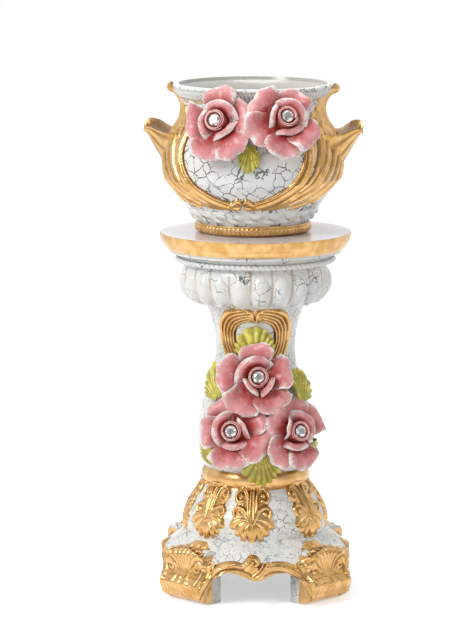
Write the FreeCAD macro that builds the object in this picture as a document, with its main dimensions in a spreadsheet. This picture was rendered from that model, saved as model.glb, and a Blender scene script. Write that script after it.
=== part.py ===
import FreeCAD, Part
import math
import os
import Sketcher
from FreeCAD import Placement, Rotation, Vector

# Glazed earthenware jardiniere that stands loose on a baluster pedestal.
# Millimetres, +Z up, origin on the floor under the pedestal's axis, front towards -Y.

UP = Vector(0, 0, 1)
FAR = 400.0  # further out than any piece reaches; how long cutters are drawn

SIZES = {
    # pedestal base: eight-sided plinth on four scroll feet, domed shoulder, bell
    "side_apothem": 110.0,
    "corner_apothem": 124.0,
    "plinth_wall": 9.0,
    "casting_wall": 7.0,
    "dome_edge_radius": 131.0,
    "dome_edge_height": 28.0,
    "dome_mid_radius": 104.0,
    "shoulder_height": 74.0,
    "bell_foot_radius": 84.0,
    "bell_belly_radius": 85.5,
    "bell_shoulder_radius": 79.0,
    "bell_waist_radius": 70.0,
    "bell_neck_radius": 62.5,
    "bell_height": 59.0,
    "ring_radius": 65.5,
    "ring_height": 19.0,
    # arches between the feet
    "arch_half_width": 64.0,
    "arch_crown_width": 36.0,
    "arch_height": 41.5,
    "pendant_half_width": 15.0,
    "pendant_drop": 11.5,
    # scroll feet
    "foot_width": 62.0,
    "foot_inner_radius": 90.0,
    "toe_contact_radius": 108.0,
    "toe_radius": 124.0,
    "toe_height": 29.0,
    "ankle_radius": 118.5,
    "ankle_rise": 14.0,
    "knee_radius": 119.5,
    "knee_rise": 26.0,
    "knee_cap_radius": 104.0,
    "foot_height": 65.0,
    "ankle_hollow": 13.0,
    # baluster column
    "column_foot_radius": 61.0,
    "swell_radius": 70.0,
    "hip_radius": 55.0,
    "waist_radius": 48.0,
    "column_top_radius": 60.5,
    "column_height": 198.0,
    # capital: gadrooned bowl, rope bead, cove, gilded rim, flat top
    "gadroon_core_radius": 87.0,
    "gadroon_top_radius": 82.0,
    "gadroon_height": 52.0,
    "lobe_count": 21.0,
    "lobe_ring_radius": 66.0,
    "lobe_bend_radius": 14.0,
    "lobe_half_width": 12.0,
    "rope_radius": 93.0,
    "rope_height": 4.0,
    "cove_height": 15.0,
    "cove_edge_radius": 103.5,
    "rim_foot_radius": 106.0,
    "rim_belly_radius": 109.4,
    "rim_step": 4.2,
    "plate_radius": 115.0,
    "rim_height": 20.0,
    "plate_thickness": 9.0,
    # jardiniere
    "pot_turn": -6.0,
    "pot_shift": -3.0,
    "pot_height": 178.0,
    "pot_wall": 8.0,
    "pot_floor": 9.0,
    "foot_ring_height": 12.5,
    "foot_ring_radius": 68.5,
    "foot_ring_inner": 54.0,
    "foot_recess": 3.0,
    "pot_root_radius": 66.0,
    "pot_flank_radius": 104.0,
    "pot_belly_radius": 105.5,
    "pot_shoulder_radius": 92.0,
    "pot_neck_radius": 84.5,
    "pot_rim_radius": 96.0,
    "pot_neck_height": 51.0,
    "handle_reach": 131.0,
    "handle_root_width": 88.0,
    "handle_root_height": 76.0,
    "handle_tip_width": 15.0,
    "handle_tip_height": 6.0,
    "handle_top": 1.0,
    # relief and leaves
    "relief": 3.0,
    "leaf_thickness": 2.4,
    "apron_relief": 4.0,
    "apron_band": 13.0,
    "sprig_height": 60.0,
    "sprig_width": 50.0,
    "shell_width": 50.0,
    "frame_height": 66.0,
    "frame_width": 88.0,
    "frame_opening": 48.0,
    "pot_frame_width": 176.0,
    "pot_frame_height": 128.0,
    "pot_frame_band": 10.0,
    "pot_frame_drop": 19.0,
    "neck_leaf_width": 50.0,
    # roses: clay core, petals and a cut-glass stone
    "core_radius": 10.5,
    "petal_thickness": 2.2,
    "outer_petal_reach": 42.0,
    "outer_petal_width": 42.0,
    "outer_petal_rise": 10.0,
    "petal_level_step": 3.2,
    "inner_petal_level": 12.0,
    "inner_petal_reach": 27.0,
    "inner_petal_height": 15.0,
    "bud_height": 25.0,
    "stone_radius": 7.3,
    "stone_crown": 2.2,
    "stone_depth": 4.0,
    "seat_clearance": 0.2,
}

# Where the sprigs sit round the bell, in degrees: set by hand and so not quite evenly.
SPRIG_TURNS = (-44.0, -3.0, 52.0, 96.0, 140.0, 184.0, 228.0, 272.0)

# Roses: around and facing in degrees from the front, level as a share of the column's
# height or as a rise above the pot's neck, lift and spin of the flower in degrees.
COLUMN_ROSES = {
    "top_rose": dict(around=2.0, facing=2.0, lift=15.0, spin=25.0, share=0.565, stand_off=14.3),
    "left_rose": dict(around=-19.0, facing=-14.0, lift=13.0, spin=30.0, share=0.252, stand_off=8.1),
    "right_rose": dict(around=34.0, facing=31.0, lift=16.0, spin=7.0, share=0.236, stand_off=7.1),
}
POT_ROSES = {
    "pot_left_rose": dict(around=-16.0, facing=-14.0, lift=18.0, spin=36.0, rise=6.0, stand_off=16.4),
    "pot_right_rose": dict(around=24.0, facing=23.0, lift=25.0, spin=0.0, rise=4.2, stand_off=22.3),
}

# Leaves: turn round the axis, level of the lower end, length, width and roll in their own plane.
COLUMN_LEAVES = {
    "leaf_top": dict(turn=-1.0, share=0.68, length=46.0, width=42.0, roll=180.0),
    "leaf_upper_left": dict(turn=-54.0, share=0.385, length=54.0, width=40.0, roll=200.0),
    "leaf_upper_right": dict(turn=62.0, share=0.42, length=54.0, width=40.0, roll=165.0),
}
RING_LEAVES = {
    "leaf_bottom": dict(turn=7.0, rise=2.0, length=48.0, width=44.0, roll=0.0),
    "leaf_lower_left": dict(turn=-56.0, rise=14.0, length=38.0, width=32.0, roll=25.0),
    "leaf_lower_right": dict(turn=66.0, rise=14.0, length=36.0, width=32.0, roll=-25.0),
}
POT_LEAVES = {
    "pot_leaf_centre": dict(turn=3.0, share=0.573, length=34.0, width=34.0),
    "pot_leaf_right": dict(turn=33.0, share=0.735, length=30.0, width=26.0),
}

doc = FreeCAD.newDocument("Jardiniere")
sheet = doc.addObject("Spreadsheet::Sheet", "Sizes")
for row, (alias, number) in enumerate(SIZES.items(), start=1):
    sheet.set(f"A{row}", alias)
    sheet.set(f"B{row}", str(number))
    sheet.setAlias(f"B{row}", alias)
doc.recompute()


class Size:
    """A length that knows both its number and the expression that a feature is bound to."""

    def __init__(self, text, value):
        self.text = text
        self.value = float(value)

    def __add__(self, other):
        return combine(self, "+", other)

    def __sub__(self, other):
        return combine(self, "-", other)

    def __mul__(self, other):
        return combine(self, "*", other)


def combine(first, sign, second):
    if not isinstance(second, Size):
        second = Size(repr(float(second)), second)
    value = {
        "+": first.value + second.value,
        "-": first.value - second.value,
        "*": first.value * second.value,
    }[sign]
    return Size(f"({first.text} {sign} {second.text})", value)


def size(alias):
    return Size(f"Sizes.{alias}", sheet.get(alias))


ZERO = Size("0", 0.0)


# ---- levels, each built on the one below ----
shoulder_level = size("shoulder_height")
ring_level = shoulder_level + size("bell_height")
column_level = ring_level + size("ring_height")
capital_level = column_level + size("column_height")
rope_level = capital_level + size("gadroon_height")
rim_level = rope_level + size("cove_height")
plate_level = rim_level + size("rim_height")
pot_root_level = plate_level + size("foot_ring_height")
pot_top_level = plate_level + size("pot_height")
pot_neck_level = pot_top_level - size("pot_neck_height")
pot_body_height = pot_neck_level - pot_root_level


# ---- outlines: a start point, then lines and arcs through a middle point ----
class Outline:
    def __init__(self, x, y):
        self.points = [(x, y)]
        self.middles = []

    def line(self, x, y):
        self.points.append((x, y))
        self.middles.append(None)
        return self

    def arc(self, mid_x, mid_y, x, y):
        self.points.append((x, y))
        self.middles.append((mid_x, mid_y))
        return self

    def close(self):
        self.points.append(self.points[0])
        self.middles.append(None)
        return self


def flat(point):
    return Vector(point[0].value, point[1].value, 0)


def pin_point(sketch, geometry, end, point, label):
    """Fixes one sketch point at its two sizes, measured from the sketch's origin."""
    for kind, axis, number in (("DistanceX", -2, point[0]), ("DistanceY", -1, point[1])):
        if number is ZERO:
            sketch.addConstraint(Sketcher.Constraint("PointOnObject", geometry, end, axis))
            continue
        index = sketch.addConstraint(
            Sketcher.Constraint(kind, -1, 1, geometry, end, number.value)
        )
        name = f"{label}_{kind[-1].lower()}"
        sketch.renameConstraint(index, name)
        sketch.setExpression(f"Constraints.{name}", number.text)


def draw(sketch, outline):
    """Draws a closed outline in a sketch, with every corner and arc middle bound to the sheet."""
    ends = []
    corners = outline.points
    for number, middle in enumerate(outline.middles):
        first, last = flat(corners[number]), flat(corners[number + 1])
        if middle is None:
            geometry = sketch.addGeometry(Part.LineSegment(first, last), False)
            ends.append((geometry, 1, 2))
            continue
        through = flat(middle)
        turns_left = (through - first).cross(last - through).z > 0
        if turns_left:
            geometry = sketch.addGeometry(Part.Arc(first, through, last), False)
            ends.append((geometry, 1, 2))
        else:
            geometry = sketch.addGeometry(Part.Arc(last, through, first), False)
            ends.append((geometry, 2, 1))
        guide = sketch.addGeometry(Part.Point(through), True)
        sketch.addConstraint(Sketcher.Constraint("PointOnObject", guide, 1, geometry))
        pin_point(sketch, guide, 1, middle, f"middle_{number}")
    for number, (geometry, start, _) in enumerate(ends):
        before = ends[number - 1]
        sketch.addConstraint(Sketcher.Constraint("Coincident", before[0], before[2], geometry, start))
        pin_point(sketch, geometry, start, corners[number], f"corner_{number}")
    return sketch


def origin_feature(body, role):
    return next(f for f in body.Origin.OriginFeatures if f.Role == role)


def body_sketch(body, name, outline):
    sketch = body.newObject("Sketcher::SketchObject", name)
    sketch.AttachmentSupport = (origin_feature(body, "XZ_Plane"), [""])
    sketch.MapMode = "FlatFace"
    return draw(sketch, outline)


def turned_feature(body, kind, name, outline):
    """A PartDesign Revolution or Groove of an outline about the vertical axis."""
    sketch = body_sketch(body, name + "_sketch", outline)
    feature = body.newObject(f"PartDesign::{kind}", name)
    feature.Profile = sketch
    feature.ReferenceAxis = (sketch, ["V_Axis"])
    feature.Angle = 360.0
    body.Tip = feature
    return feature


def upright_sketch(name, outline):
    sketch = doc.addObject("Sketcher::SketchObject", name + "_sketch")
    sketch.Placement = Placement(Vector(), Rotation(Vector(1, 0, 0), 90))
    return draw(sketch, outline)


def turned_solid(name, outline):
    """A plain solid of revolution, used to fit relief and feet to the surfaces they sit on."""
    turned = doc.addObject("Part::Revolution", name)
    turned.Source = upright_sketch(name, outline)
    turned.Axis = UP
    turned.Base = Vector()
    turned.Angle = 360.0
    turned.Solid = True
    return turned


def boolean(kind, name, base, tool):
    result = doc.addObject(f"Part::{kind}", name)
    result.Base = base
    result.Tool = tool
    return result


def solid_piece(label, shape, place=Placement()):
    """A named piece whose shape is worked out here and then put in its place."""
    piece = doc.addObject("Part::Feature", label)
    piece.Shape = shape
    piece.Placement = place.multiply(shape.Placement)
    return piece


def pot_place():
    """The pot stands loose: a little to the left of the axis, and turned by hand."""
    return Placement(Vector(sheet.get("pot_shift"), 0, 0), Rotation(UP, sheet.get("pot_turn")))


# ---- the pedestal's outer surface, grown by an offset where relief sits on it ----
def column_steps(outline, grow):
    """From the column's foot up to its top."""
    tall = size("column_height")
    level = column_level
    outline.arc(size("swell_radius") - 3.0 + grow, level + tall * 0.07,
                size("swell_radius") + grow, level + tall * 0.18)
    outline.arc(size("hip_radius") + (size("swell_radius") - size("hip_radius")) * 0.7 + grow,
                level + tall * 0.355, size("hip_radius") + grow, level + tall * 0.535)
    outline.arc(size("waist_radius") + grow, level + tall * 0.725,
                size("column_top_radius") + grow, capital_level)
    return outline


def bell_steps(outline, grow, neck):
    """From the domed shoulder up the bell to its neck."""
    tall = size("bell_height")
    outline.arc(size("bell_belly_radius") + grow, shoulder_level + tall * 0.2,
                size("bell_shoulder_radius") + grow, shoulder_level + tall * 0.58)
    outline.arc(size("bell_waist_radius") + grow, shoulder_level + tall * 0.81, neck, ring_level)


def ring_steps(outline, grow):
    """Round the gilded ring, from the bell's neck to the column's foot."""
    outline.arc(size("ring_radius") + grow, ring_level + size("ring_height") * 0.5,
                size("column_foot_radius") + grow, column_level)


def dome_level():
    """Height of the dome's middle, a little above the straight line between its two ends."""
    rise = size("shoulder_height") - size("dome_edge_height")
    return size("dome_edge_height") + rise * 0.7


def stand_outline(grow):
    outline = Outline(ZERO, shoulder_level)
    outline.line(size("bell_foot_radius") + grow, shoulder_level)
    bell_steps(outline, grow, size("bell_neck_radius") + grow)
    ring_steps(outline, grow)
    column_steps(outline, grow)
    outline.line(ZERO, capital_level)
    return outline.close()


def base_outline(shrink, bore=None):
    """The plinth's dome, the bell and the ring as one closed outline from the floor up.
    Inside the casting, a plain bore takes the place of the ring."""
    outline = Outline(ZERO, ZERO)
    outline.line(size("dome_edge_radius") - shrink, ZERO)
    outline.line(size("dome_edge_radius") - shrink, size("dome_edge_height"))
    outline.arc(size("dome_mid_radius") - shrink, dome_level(),
                size("bell_foot_radius") - shrink, shoulder_level)
    if bore is None:
        bell_steps(outline, ZERO - shrink, size("bell_neck_radius") - shrink)
        ring_steps(outline, ZERO - shrink)
    else:
        bell_steps(outline, ZERO - shrink, bore)
        outline.line(bore, column_level)
    outline.line(ZERO, column_level)
    return outline.close()


def octagon_prism(name, shrink):
    """A plinth block: a square block cut back at its corners by a second block turned 45 degrees."""
    blocks = []
    for suffix, apothem, turn in (
        ("sides", size("side_apothem") - shrink, 0.0),
        ("corners", size("corner_apothem") - shrink, 45.0),
    ):
        block = doc.addObject("Part::Box", f"{name}_{suffix}")
        half = apothem.value
        block.setExpression("Length", (apothem * 2.0).text)
        block.setExpression("Width", (apothem * 2.0).text)
        block.setExpression("Height", column_level.text)
        spin = Rotation(UP, turn)
        block.Placement = Placement(spin.multVec(Vector(-half, -half, 0)), spin)
        blocks.append(block)
    return boolean("Common", name, blocks[0], blocks[1])


def arch_outline():
    """The opening between two feet, with the apron's pendant hanging into its middle."""
    half, tall = size("arch_half_width"), size("arch_height")
    drop, hang = size("pendant_drop"), size("pendant_half_width")
    crown = size("arch_crown_width")
    outline = Outline(half * -1.0, size("plinth_wall") * -1.0)
    outline.line(half * -1.0, tall * 0.2)
    outline.arc((half + crown) * -0.54, tall * 0.7, crown * -1.0, tall)
    outline.arc(hang * -1.4, tall - drop * 0.25, hang * -0.6, tall - drop)
    outline.line(hang * 0.6, tall - drop)
    outline.arc(hang * 1.4, tall - drop * 0.25, crown, tall)
    outline.arc((half + crown) * 0.54, tall * 0.7, half, tall * 0.2)
    outline.line(half, size("plinth_wall") * -1.0)
    return outline.close()


def foot_outline(grow):
    """Side view of a scroll foot: flat sole, rolled toe, drawn-in ankle and knee."""
    toe, rise = size("toe_radius"), size("toe_height")
    outline = Outline(size("foot_inner_radius"), ZERO)
    outline.line(size("toe_contact_radius") + grow, ZERO)
    outline.arc(toe + grow - 2.0, rise * 0.3, toe + grow, rise)
    outline.arc(size("ankle_radius") + grow, rise + size("ankle_rise"),
                size("knee_radius") + grow, rise + size("knee_rise"))
    outline.arc(size("knee_radius") - 4.0 + grow, size("foot_height") - 3.0 + grow * 0.7,
                size("knee_cap_radius"), size("foot_height") + grow)
    outline.line(size("foot_inner_radius"), size("foot_height") - 6.0)
    return outline.close()


def foot_block(name, grow):
    """A foot's side view drawn out to its width, pointing along +X."""
    block = doc.addObject("Part::Extrusion", name)
    block.Base = upright_sketch(name, foot_outline(grow))
    block.DirMode = "Custom"
    block.Dir = Vector(0, 1, 0)
    block.Solid = True
    block.Symmetric = True
    block.setExpression("LengthFwd", size("foot_width").text)
    return block


def base_shell():
    """The base's hollow shell: an eight-sided plinth under a dome, bell and ring."""
    wall = size("plinth_wall")
    outer = boolean("Common", "base_mass", octagon_prism("plinth_block", ZERO),
                    turned_solid("base_turning", base_outline(ZERO)))
    bore = size("column_foot_radius") - size("casting_wall")
    hollow = boolean("Common", "base_hollow", octagon_prism("hollow_block", wall),
                     turned_solid("hollow_turning", base_outline(wall, bore)))
    return boolean("Cut", "base_shell", outer, hollow)


def cut_arches(shell):
    """An arch through the plinth from front to back, and one from side to side."""
    for name, turn in (("arch_front_back", 0.0), ("arch_sides", 90.0)):
        arch = doc.addObject("Part::Extrusion", name)
        arch.Base = upright_sketch(name, arch_outline())
        arch.DirMode = "Custom"
        arch.Dir = Vector(0, 1, 0)
        arch.Solid = True
        arch.Symmetric = True
        arch.setExpression("LengthFwd", (size("side_apothem") * 4.0).text)
        arch.Placement = Placement(Vector(), Rotation(UP, turn))
        shell = boolean("Cut", name + "_cut", shell, arch)
    return shell


def raise_between_feet(shell):
    """Lifts the shell off the floor, so that only the feet touch it, and draws in its corners."""
    under = doc.addObject("Part::Box", "between_toes")
    for side in ("Length", "Width"):
        under.setExpression(side, (size("side_apothem") * 4.0).text)
    under.setExpression("Height", (size("toe_height") * 0.3).text)
    under.Placement = Placement(Vector(-2, -2, 0) * sheet.get("side_apothem"), Rotation())
    shell = boolean("Cut", "raised_shell", shell, under)
    hollow_ring = doc.addObject("Part::Torus", "ankle_ring")
    hollow_ring.setExpression("Radius1", (size("ankle_radius") + size("ankle_hollow") - 1.0).text)
    hollow_ring.setExpression("Radius2", size("ankle_hollow").text)
    hollow_ring.setExpression("Placement.Base.z", (size("toe_height") + size("ankle_rise")).text)
    return boolean("Cut", "drawn_in_shell", shell, hollow_ring)


def make_base():
    """The slip-cast base: hollow and open below, standing on four scroll feet."""
    shell = raise_between_feet(cut_arches(base_shell()))
    doc.recompute()
    foot = foot_block("foot_block", ZERO)
    feet = []
    for number in range(4):
        copy = doc.addObject("Part::Compound", f"foot_{number + 1}")
        copy.Links = [foot]
        copy.Placement = Placement(Vector(), Rotation(UP, 45 + 90 * number))
        feet.append(copy)
    joined = doc.addObject("Part::MultiFuse", "base_casting")
    joined.Shapes = [shell] + feet
    return joined


def make_column():
    """The baluster column, a slip-cast tube whose wall follows its outside."""
    wall = size("casting_wall")
    body = doc.addObject("PartDesign::Body", "column_casting")
    outline = Outline(size("column_foot_radius") - wall, column_level)
    outline.line(size("column_foot_radius"), column_level)
    column_steps(outline, ZERO)
    outline.line(size("column_top_radius") - wall, capital_level)
    tall = size("column_height")
    outline.arc(size("waist_radius") - wall, column_level + tall * 0.725,
                size("hip_radius") - wall, column_level + tall * 0.535)
    outline.arc(size("hip_radius") + (size("swell_radius") - size("hip_radius")) * 0.7 - wall,
                column_level + tall * 0.355,
                size("swell_radius") - wall, column_level + tall * 0.18)
    outline.arc(size("swell_radius") - 3.0 - wall, column_level + tall * 0.07,
                size("column_foot_radius") - wall, column_level)
    outline.points.pop()
    outline.points.append(outline.points[0])
    turned_feature(body, "Revolution", "column_wall", outline)
    return body


def capital_outline():
    """Outside of the capital: bowl, rope bead, cove, gilded rim with a small step, flat top."""
    bowl, rope = size("gadroon_height"), size("rope_height")
    cove, rim = size("cove_height"), size("rim_height")
    outline = Outline(ZERO, capital_level)
    outline.line(size("column_top_radius"), capital_level)
    outline.arc(size("gadroon_core_radius") - 7.0, capital_level + bowl * 0.2,
                size("gadroon_core_radius"), capital_level + bowl * 0.6)
    outline.arc(size("gadroon_core_radius") - 1.0, capital_level + bowl * 0.85,
                size("gadroon_top_radius"), rope_level)
    outline.line(size("rope_radius") - rope * 0.5, rope_level)
    outline.arc(size("rope_radius"), rope_level + rope * 0.5,
                size("rope_radius") - rope * 0.5, rope_level + rope)
    outline.arc(size("cove_edge_radius") - cove * 0.53, rope_level + cove * 0.54,
                size("cove_edge_radius") - 2.0, rope_level + cove * 0.72)
    outline.line(size("cove_edge_radius"), rope_level + cove * 0.74)
    outline.line(size("cove_edge_radius"), rim_level)
    outline.line(size("rim_foot_radius"), rim_level)
    outline.arc(size("rim_belly_radius"), rim_level + rim * 0.2,
                size("plate_radius") - size("rim_step"), rim_level + rim * 0.36)
    outline.line(size("plate_radius") - size("rim_step") * 0.8, rim_level + rim * 0.38)
    outline.arc(size("plate_radius") - 0.8, rim_level + rim * 0.68,
                size("plate_radius"), rim_level + rim * 0.94)
    outline.line(size("plate_radius") - 1.2, plate_level)
    outline.line(ZERO, plate_level)
    return outline.close()


def capital_hollow():
    """Inside of the capital, which stays one wall behind its outside and a plate below its top."""
    wall, bowl = size("casting_wall"), size("gadroon_height")
    inner = size("gadroon_core_radius") - wall
    outline = Outline(ZERO, capital_level)
    outline.line(size("column_top_radius") - wall, capital_level)
    outline.arc(inner - 7.0, capital_level + bowl * 0.24, inner, capital_level + bowl * 0.6)
    outline.line(size("gadroon_top_radius") - wall, rope_level)
    outline.line(size("rope_radius") - wall, rim_level)
    outline.line(size("rope_radius") - wall, plate_level - size("plate_thickness"))
    outline.line(ZERO, plate_level - size("plate_thickness"))
    return outline.close()


def make_capital():
    body = doc.addObject("PartDesign::Body", "capital_casting")
    turned_feature(body, "Revolution", "capital_turning", capital_outline())
    doc.recompute()
    lobe = body.newObject("PartDesign::AdditiveTorus", "gadroon_lobe")
    lobe.setExpression("Radius1", size("lobe_bend_radius").text)
    lobe.setExpression("Radius2", size("lobe_half_width").text)
    lobe.Placement = Placement(Vector(), Rotation(Vector(1, 0, 0), 90))
    lobe.setExpression("Placement.Base.x", size("lobe_ring_radius").text)
    lobe.setExpression("Placement.Base.z",
                       (capital_level + size("gadroon_height") * 0.52).text)
    doc.recompute()
    ring = body.newObject("PartDesign::PolarPattern", "gadroon_ring")
    ring.Originals = [lobe]
    ring.Axis = (origin_feature(body, "Z_Axis"), [""])
    ring.Angle = 360.0
    ring.setExpression("Occurrences", size("lobe_count").text)
    ring.Refine = False
    body.Tip = ring
    doc.recompute()
    turned_feature(body, "Groove", "capital_hollow", capital_hollow())
    return body


# ---- the jardiniere ----
def pot_steps(outline, grow):
    """From the root above the foot ring, up the belly and shoulder to the flared rim."""
    tall, neck = pot_body_height, size("pot_neck_height")
    flank, belly = size("pot_flank_radius"), size("pot_belly_radius")
    shoulder = size("pot_shoulder_radius")
    outline.arc((size("pot_root_radius") + flank) * 0.5 + 1.0 + grow, pot_root_level + tall * 0.24,
                flank + grow, pot_root_level + tall * 0.46)
    outline.arc(belly + grow, pot_root_level + tall * 0.7, shoulder + grow, pot_neck_level)
    outline.arc(size("pot_neck_radius") + grow, pot_neck_level + neck * 0.3,
                size("pot_rim_radius") + grow, pot_top_level - 4.0)
    return outline


def pot_outline(grow):
    """The solid mass inside the pot's outer surface, above its foot ring."""
    outline = Outline(ZERO, pot_root_level)
    outline.line(size("pot_root_radius") + grow, pot_root_level)
    pot_steps(outline, grow)
    outline.line(ZERO, pot_top_level - 4.0)
    return outline.close()


def make_pot():
    """The slip-cast pot with its foot ring, recessed foot and rounded lip."""
    wall, ring = size("pot_wall"), size("foot_ring_radius")
    tall, neck = pot_body_height, size("pot_neck_height")
    body = doc.addObject("PartDesign::Body", "pot_bowl")
    outline = Outline(ZERO, plate_level + size("foot_recess"))
    outline.line(size("foot_ring_inner"), plate_level + size("foot_recess"))
    outline.line(size("foot_ring_inner"), plate_level)
    outline.line(ring - 5.0, plate_level)
    outline.arc(ring - 1.0, plate_level + size("foot_ring_height") * 0.25,
                ring, plate_level + size("foot_ring_height") * 0.6)
    outline.line(ring, pot_root_level)
    outline.line(size("pot_root_radius"), pot_root_level)
    pot_steps(outline, ZERO)
    rim = size("pot_rim_radius")
    outline.arc(rim - 0.3, pot_top_level - 1.0, rim - 3.0, pot_top_level)
    outline.line(rim - wall + 1.0, pot_top_level)
    outline.line(rim - wall, pot_top_level - 4.0)
    outline.arc(size("pot_neck_radius") - wall, pot_neck_level + neck * 0.3,
                size("pot_shoulder_radius") - wall, pot_neck_level)
    outline.arc(size("pot_belly_radius") - wall, pot_root_level + tall * 0.7,
                size("pot_flank_radius") - wall, pot_root_level + tall * 0.46)
    floor_level = plate_level + size("foot_recess") + size("pot_floor")
    flank = size("pot_flank_radius")
    outline.arc((size("pot_root_radius") + flank) * 0.5 + 1.0 - wall, pot_root_level + tall * 0.24,
                size("pot_root_radius") - wall + 1.0, floor_level)
    outline.line(ZERO, floor_level)
    outline.close()
    turned_feature(body, "Revolution", "pot_wall_turning", outline)
    body.Placement = pot_place()
    return body


def make_handles(pot_mass):
    """Two wing lugs: each lofted from a broad root on the belly out to a narrow curled tip."""
    root, reach = size("pot_belly_radius") - size("pot_wall"), size("handle_reach")
    root_w, tip_w = size("handle_root_width"), size("handle_tip_width")
    root_h, tip_h = size("handle_root_height"), size("handle_tip_height")
    top = pot_neck_level + size("handle_top")
    sections = []
    for number, (along, width_share, height_share) in enumerate(
        ((0.0, 1.0, 1.0), (0.36, 0.72, 0.6), (0.7, 0.34, 0.24), (1.0, 0.0, 0.0)), start=1
    ):
        oval = doc.addObject("Part::Ellipse", f"handle_section_{number}")
        width = tip_w + (root_w - tip_w) * width_share
        height = tip_h + (root_h - tip_h) * height_share
        oval.setExpression("MajorRadius", (width * 0.5).text)
        oval.setExpression("MinorRadius", (height * 0.5).text)
        oval.Placement = Placement(Vector(), Rotation(Vector(0, 1, 0), UP, Vector(1, 0, 0), "XYZ"))
        oval.setExpression("Placement.Base.x", (root + (reach - root) * along).text)
        oval.setExpression("Placement.Base.z", (top - height * 0.5).text)
        sections.append(oval)
    wing = doc.addObject("Part::Loft", "handle_loft")
    wing.Sections = sections
    wing.Solid = True
    wing.Ruled = False
    seated = boolean("Cut", "handle_seated", wing, pot_mass)
    doc.recompute()
    opposite = Placement(Vector(), Rotation(UP, 180))
    solid_piece("handle_right", largest(seated.Shape), pot_place())
    solid_piece("handle_left", largest(seated.Shape), pot_place().multiply(opposite))


# ---- relief plates that lie on a turned surface ----
def bulged_wire(points):
    """A closed wire in the XZ plane, drawn clockwise as seen from the front. Each point is
    (x, z, bulge): the bulge is the rise of the arc to the next point, as a share of the
    chord, and is positive where the arc swells away from the outline's inside."""
    edges = []
    for number, (x, z, bulge) in enumerate(points):
        next_x, next_z, _ = points[(number + 1) % len(points)]
        first, last = Vector(x, 0, z), Vector(next_x, 0, next_z)
        if not bulge:
            edges.append(Part.LineSegment(first, last).toShape())
            continue
        chord = last - first
        side = Vector(-chord.z, 0, chord.x)
        middle = (first + last) * 0.5 + side * bulge
        edges.append(Part.Arc(first, middle, last).toShape())
    return Part.Wire(edges)


def mirrored(half):
    """A whole outline from the points of its right half, listed from the top down."""
    left = []
    for number in range(len(half) - 1, -1, -1):
        x, z, _ = half[number]
        bulge = half[number - 1][2] if number else 0.0
        left.append((-x, z, bulge))
    if abs(half[-1][0]) < 1e-9:
        left = left[1:]
        half = half[:-1] + [(half[-1][0], half[-1][1], half[-2][2])]
    if abs(half[0][0]) < 1e-9:
        left = left[:-1]
    return half + left


def prism(points, holes=()):
    """An outline drawn out from the axis towards the front."""
    face = Part.Face(bulged_wire(points))
    for hole in holes:
        face = face.cut(Part.Face(bulged_wire(hole)))
    return face.extrude(Vector(0, -FAR, 0))


def plate(cutter, skin, mass, turn):
    """The part of the skin round a mass that an outline covers, as a piece turned into place."""
    spun = cutter.copy()
    spun.rotate(Vector(), UP, turn)
    return largest(skin.Shape.common(spun).cut(mass.Shape))


def largest(shape):
    return max(shape.Solids, key=lambda solid: solid.Volume)


def leaf_points(length, width, tip_level, roll=0.0):
    """A pointed oval, tip down at tip_level before it is rolled about its own middle."""
    middle = Vector(0, 0, tip_level + length / 2)
    spin = Rotation(Vector(0, 1, 0), roll)
    corners = []
    for x, z in ((0.0, -length / 2), (-width / 2, -length * 0.05), (0.0, length / 2),
                 (width / 2, -length * 0.05)):
        at = spin.multVec(Vector(x, 0, z)) + middle
        corners.append(at)
    bulge = 0.16
    return [(p.x, p.z, bulge) for p in corners]


def make_sprigs(skin, mass):
    """Eight acanthus sprigs round the bell."""
    tall, half = sheet.get("sprig_height"), sheet.get("sprig_width") / 2
    top = ring_level.value - 2.0
    half_outline = [
        (0.0, top, 0.0),
        (half * 0.8, top - tall * 0.02, 0.1),
        (half * 0.94, top - tall * 0.3, 0.2),
        (half * 0.72, top - tall * 0.36, 0.0),
        (half * 1.0, top - tall * 0.45, 0.3),
        (half * 0.86, top - tall * 0.68, 0.15),
        (half * 0.34, top - tall * 0.74, 0.25),
        (0.0, top - tall, 0.0),
    ]
    cutter = prism(mirrored(half_outline))
    for number, turn in enumerate(SPRIG_TURNS, start=1):
        solid_piece(f"bell_sprig_{number}", plate(cutter, skin, mass, turn))


def make_column_frames(skin, mass):
    """Gilded scroll frames under the capital: an open horseshoe in front, an oval behind."""
    half, opening = sheet.get("frame_width") / 2, sheet.get("frame_opening") / 2
    tall, top = sheet.get("frame_height"), capital_level.value - 1.0
    horseshoe = [
        (-half * 0.86, top, 0.0),
        (half * 0.86, top, 0.16),
        (half, top - tall * 0.36, 0.06),
        (half * 0.72, top - tall, 0.0),
        (half * 0.44, top - tall * 0.98, -0.05),
        (opening, top - tall * 0.42, -0.25),
        (opening * 0.3, top - tall * 0.17, 0.0),
        (-opening * 0.3, top - tall * 0.17, -0.25),
        (-opening, top - tall * 0.42, -0.05),
        (-half * 0.44, top - tall * 0.98, 0.0),
        (-half * 0.72, top - tall, 0.06),
        (-half, top - tall * 0.36, 0.16),
    ]
    cutter = prism(horseshoe)
    solid_piece("column_frame_front", plate(cutter, skin, mass, 0))
    outer = mirrored([(0.0, top, 0.0), (half * 0.8, top, 0.2), (half, top - tall * 0.45, 0.16),
                      (half * 0.4, top - tall * 1.1, 0.0)])
    hole = mirrored([(0.0, top - tall * 0.2, 0.0), (opening * 0.7, top - tall * 0.22, 0.2),
                     (opening, top - tall * 0.5, 0.2), (opening * 0.35, top - tall * 0.88, 0.0)])
    solid_piece("column_frame_back", plate(prism(outer, [hole]), skin, mass, 180))


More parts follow.
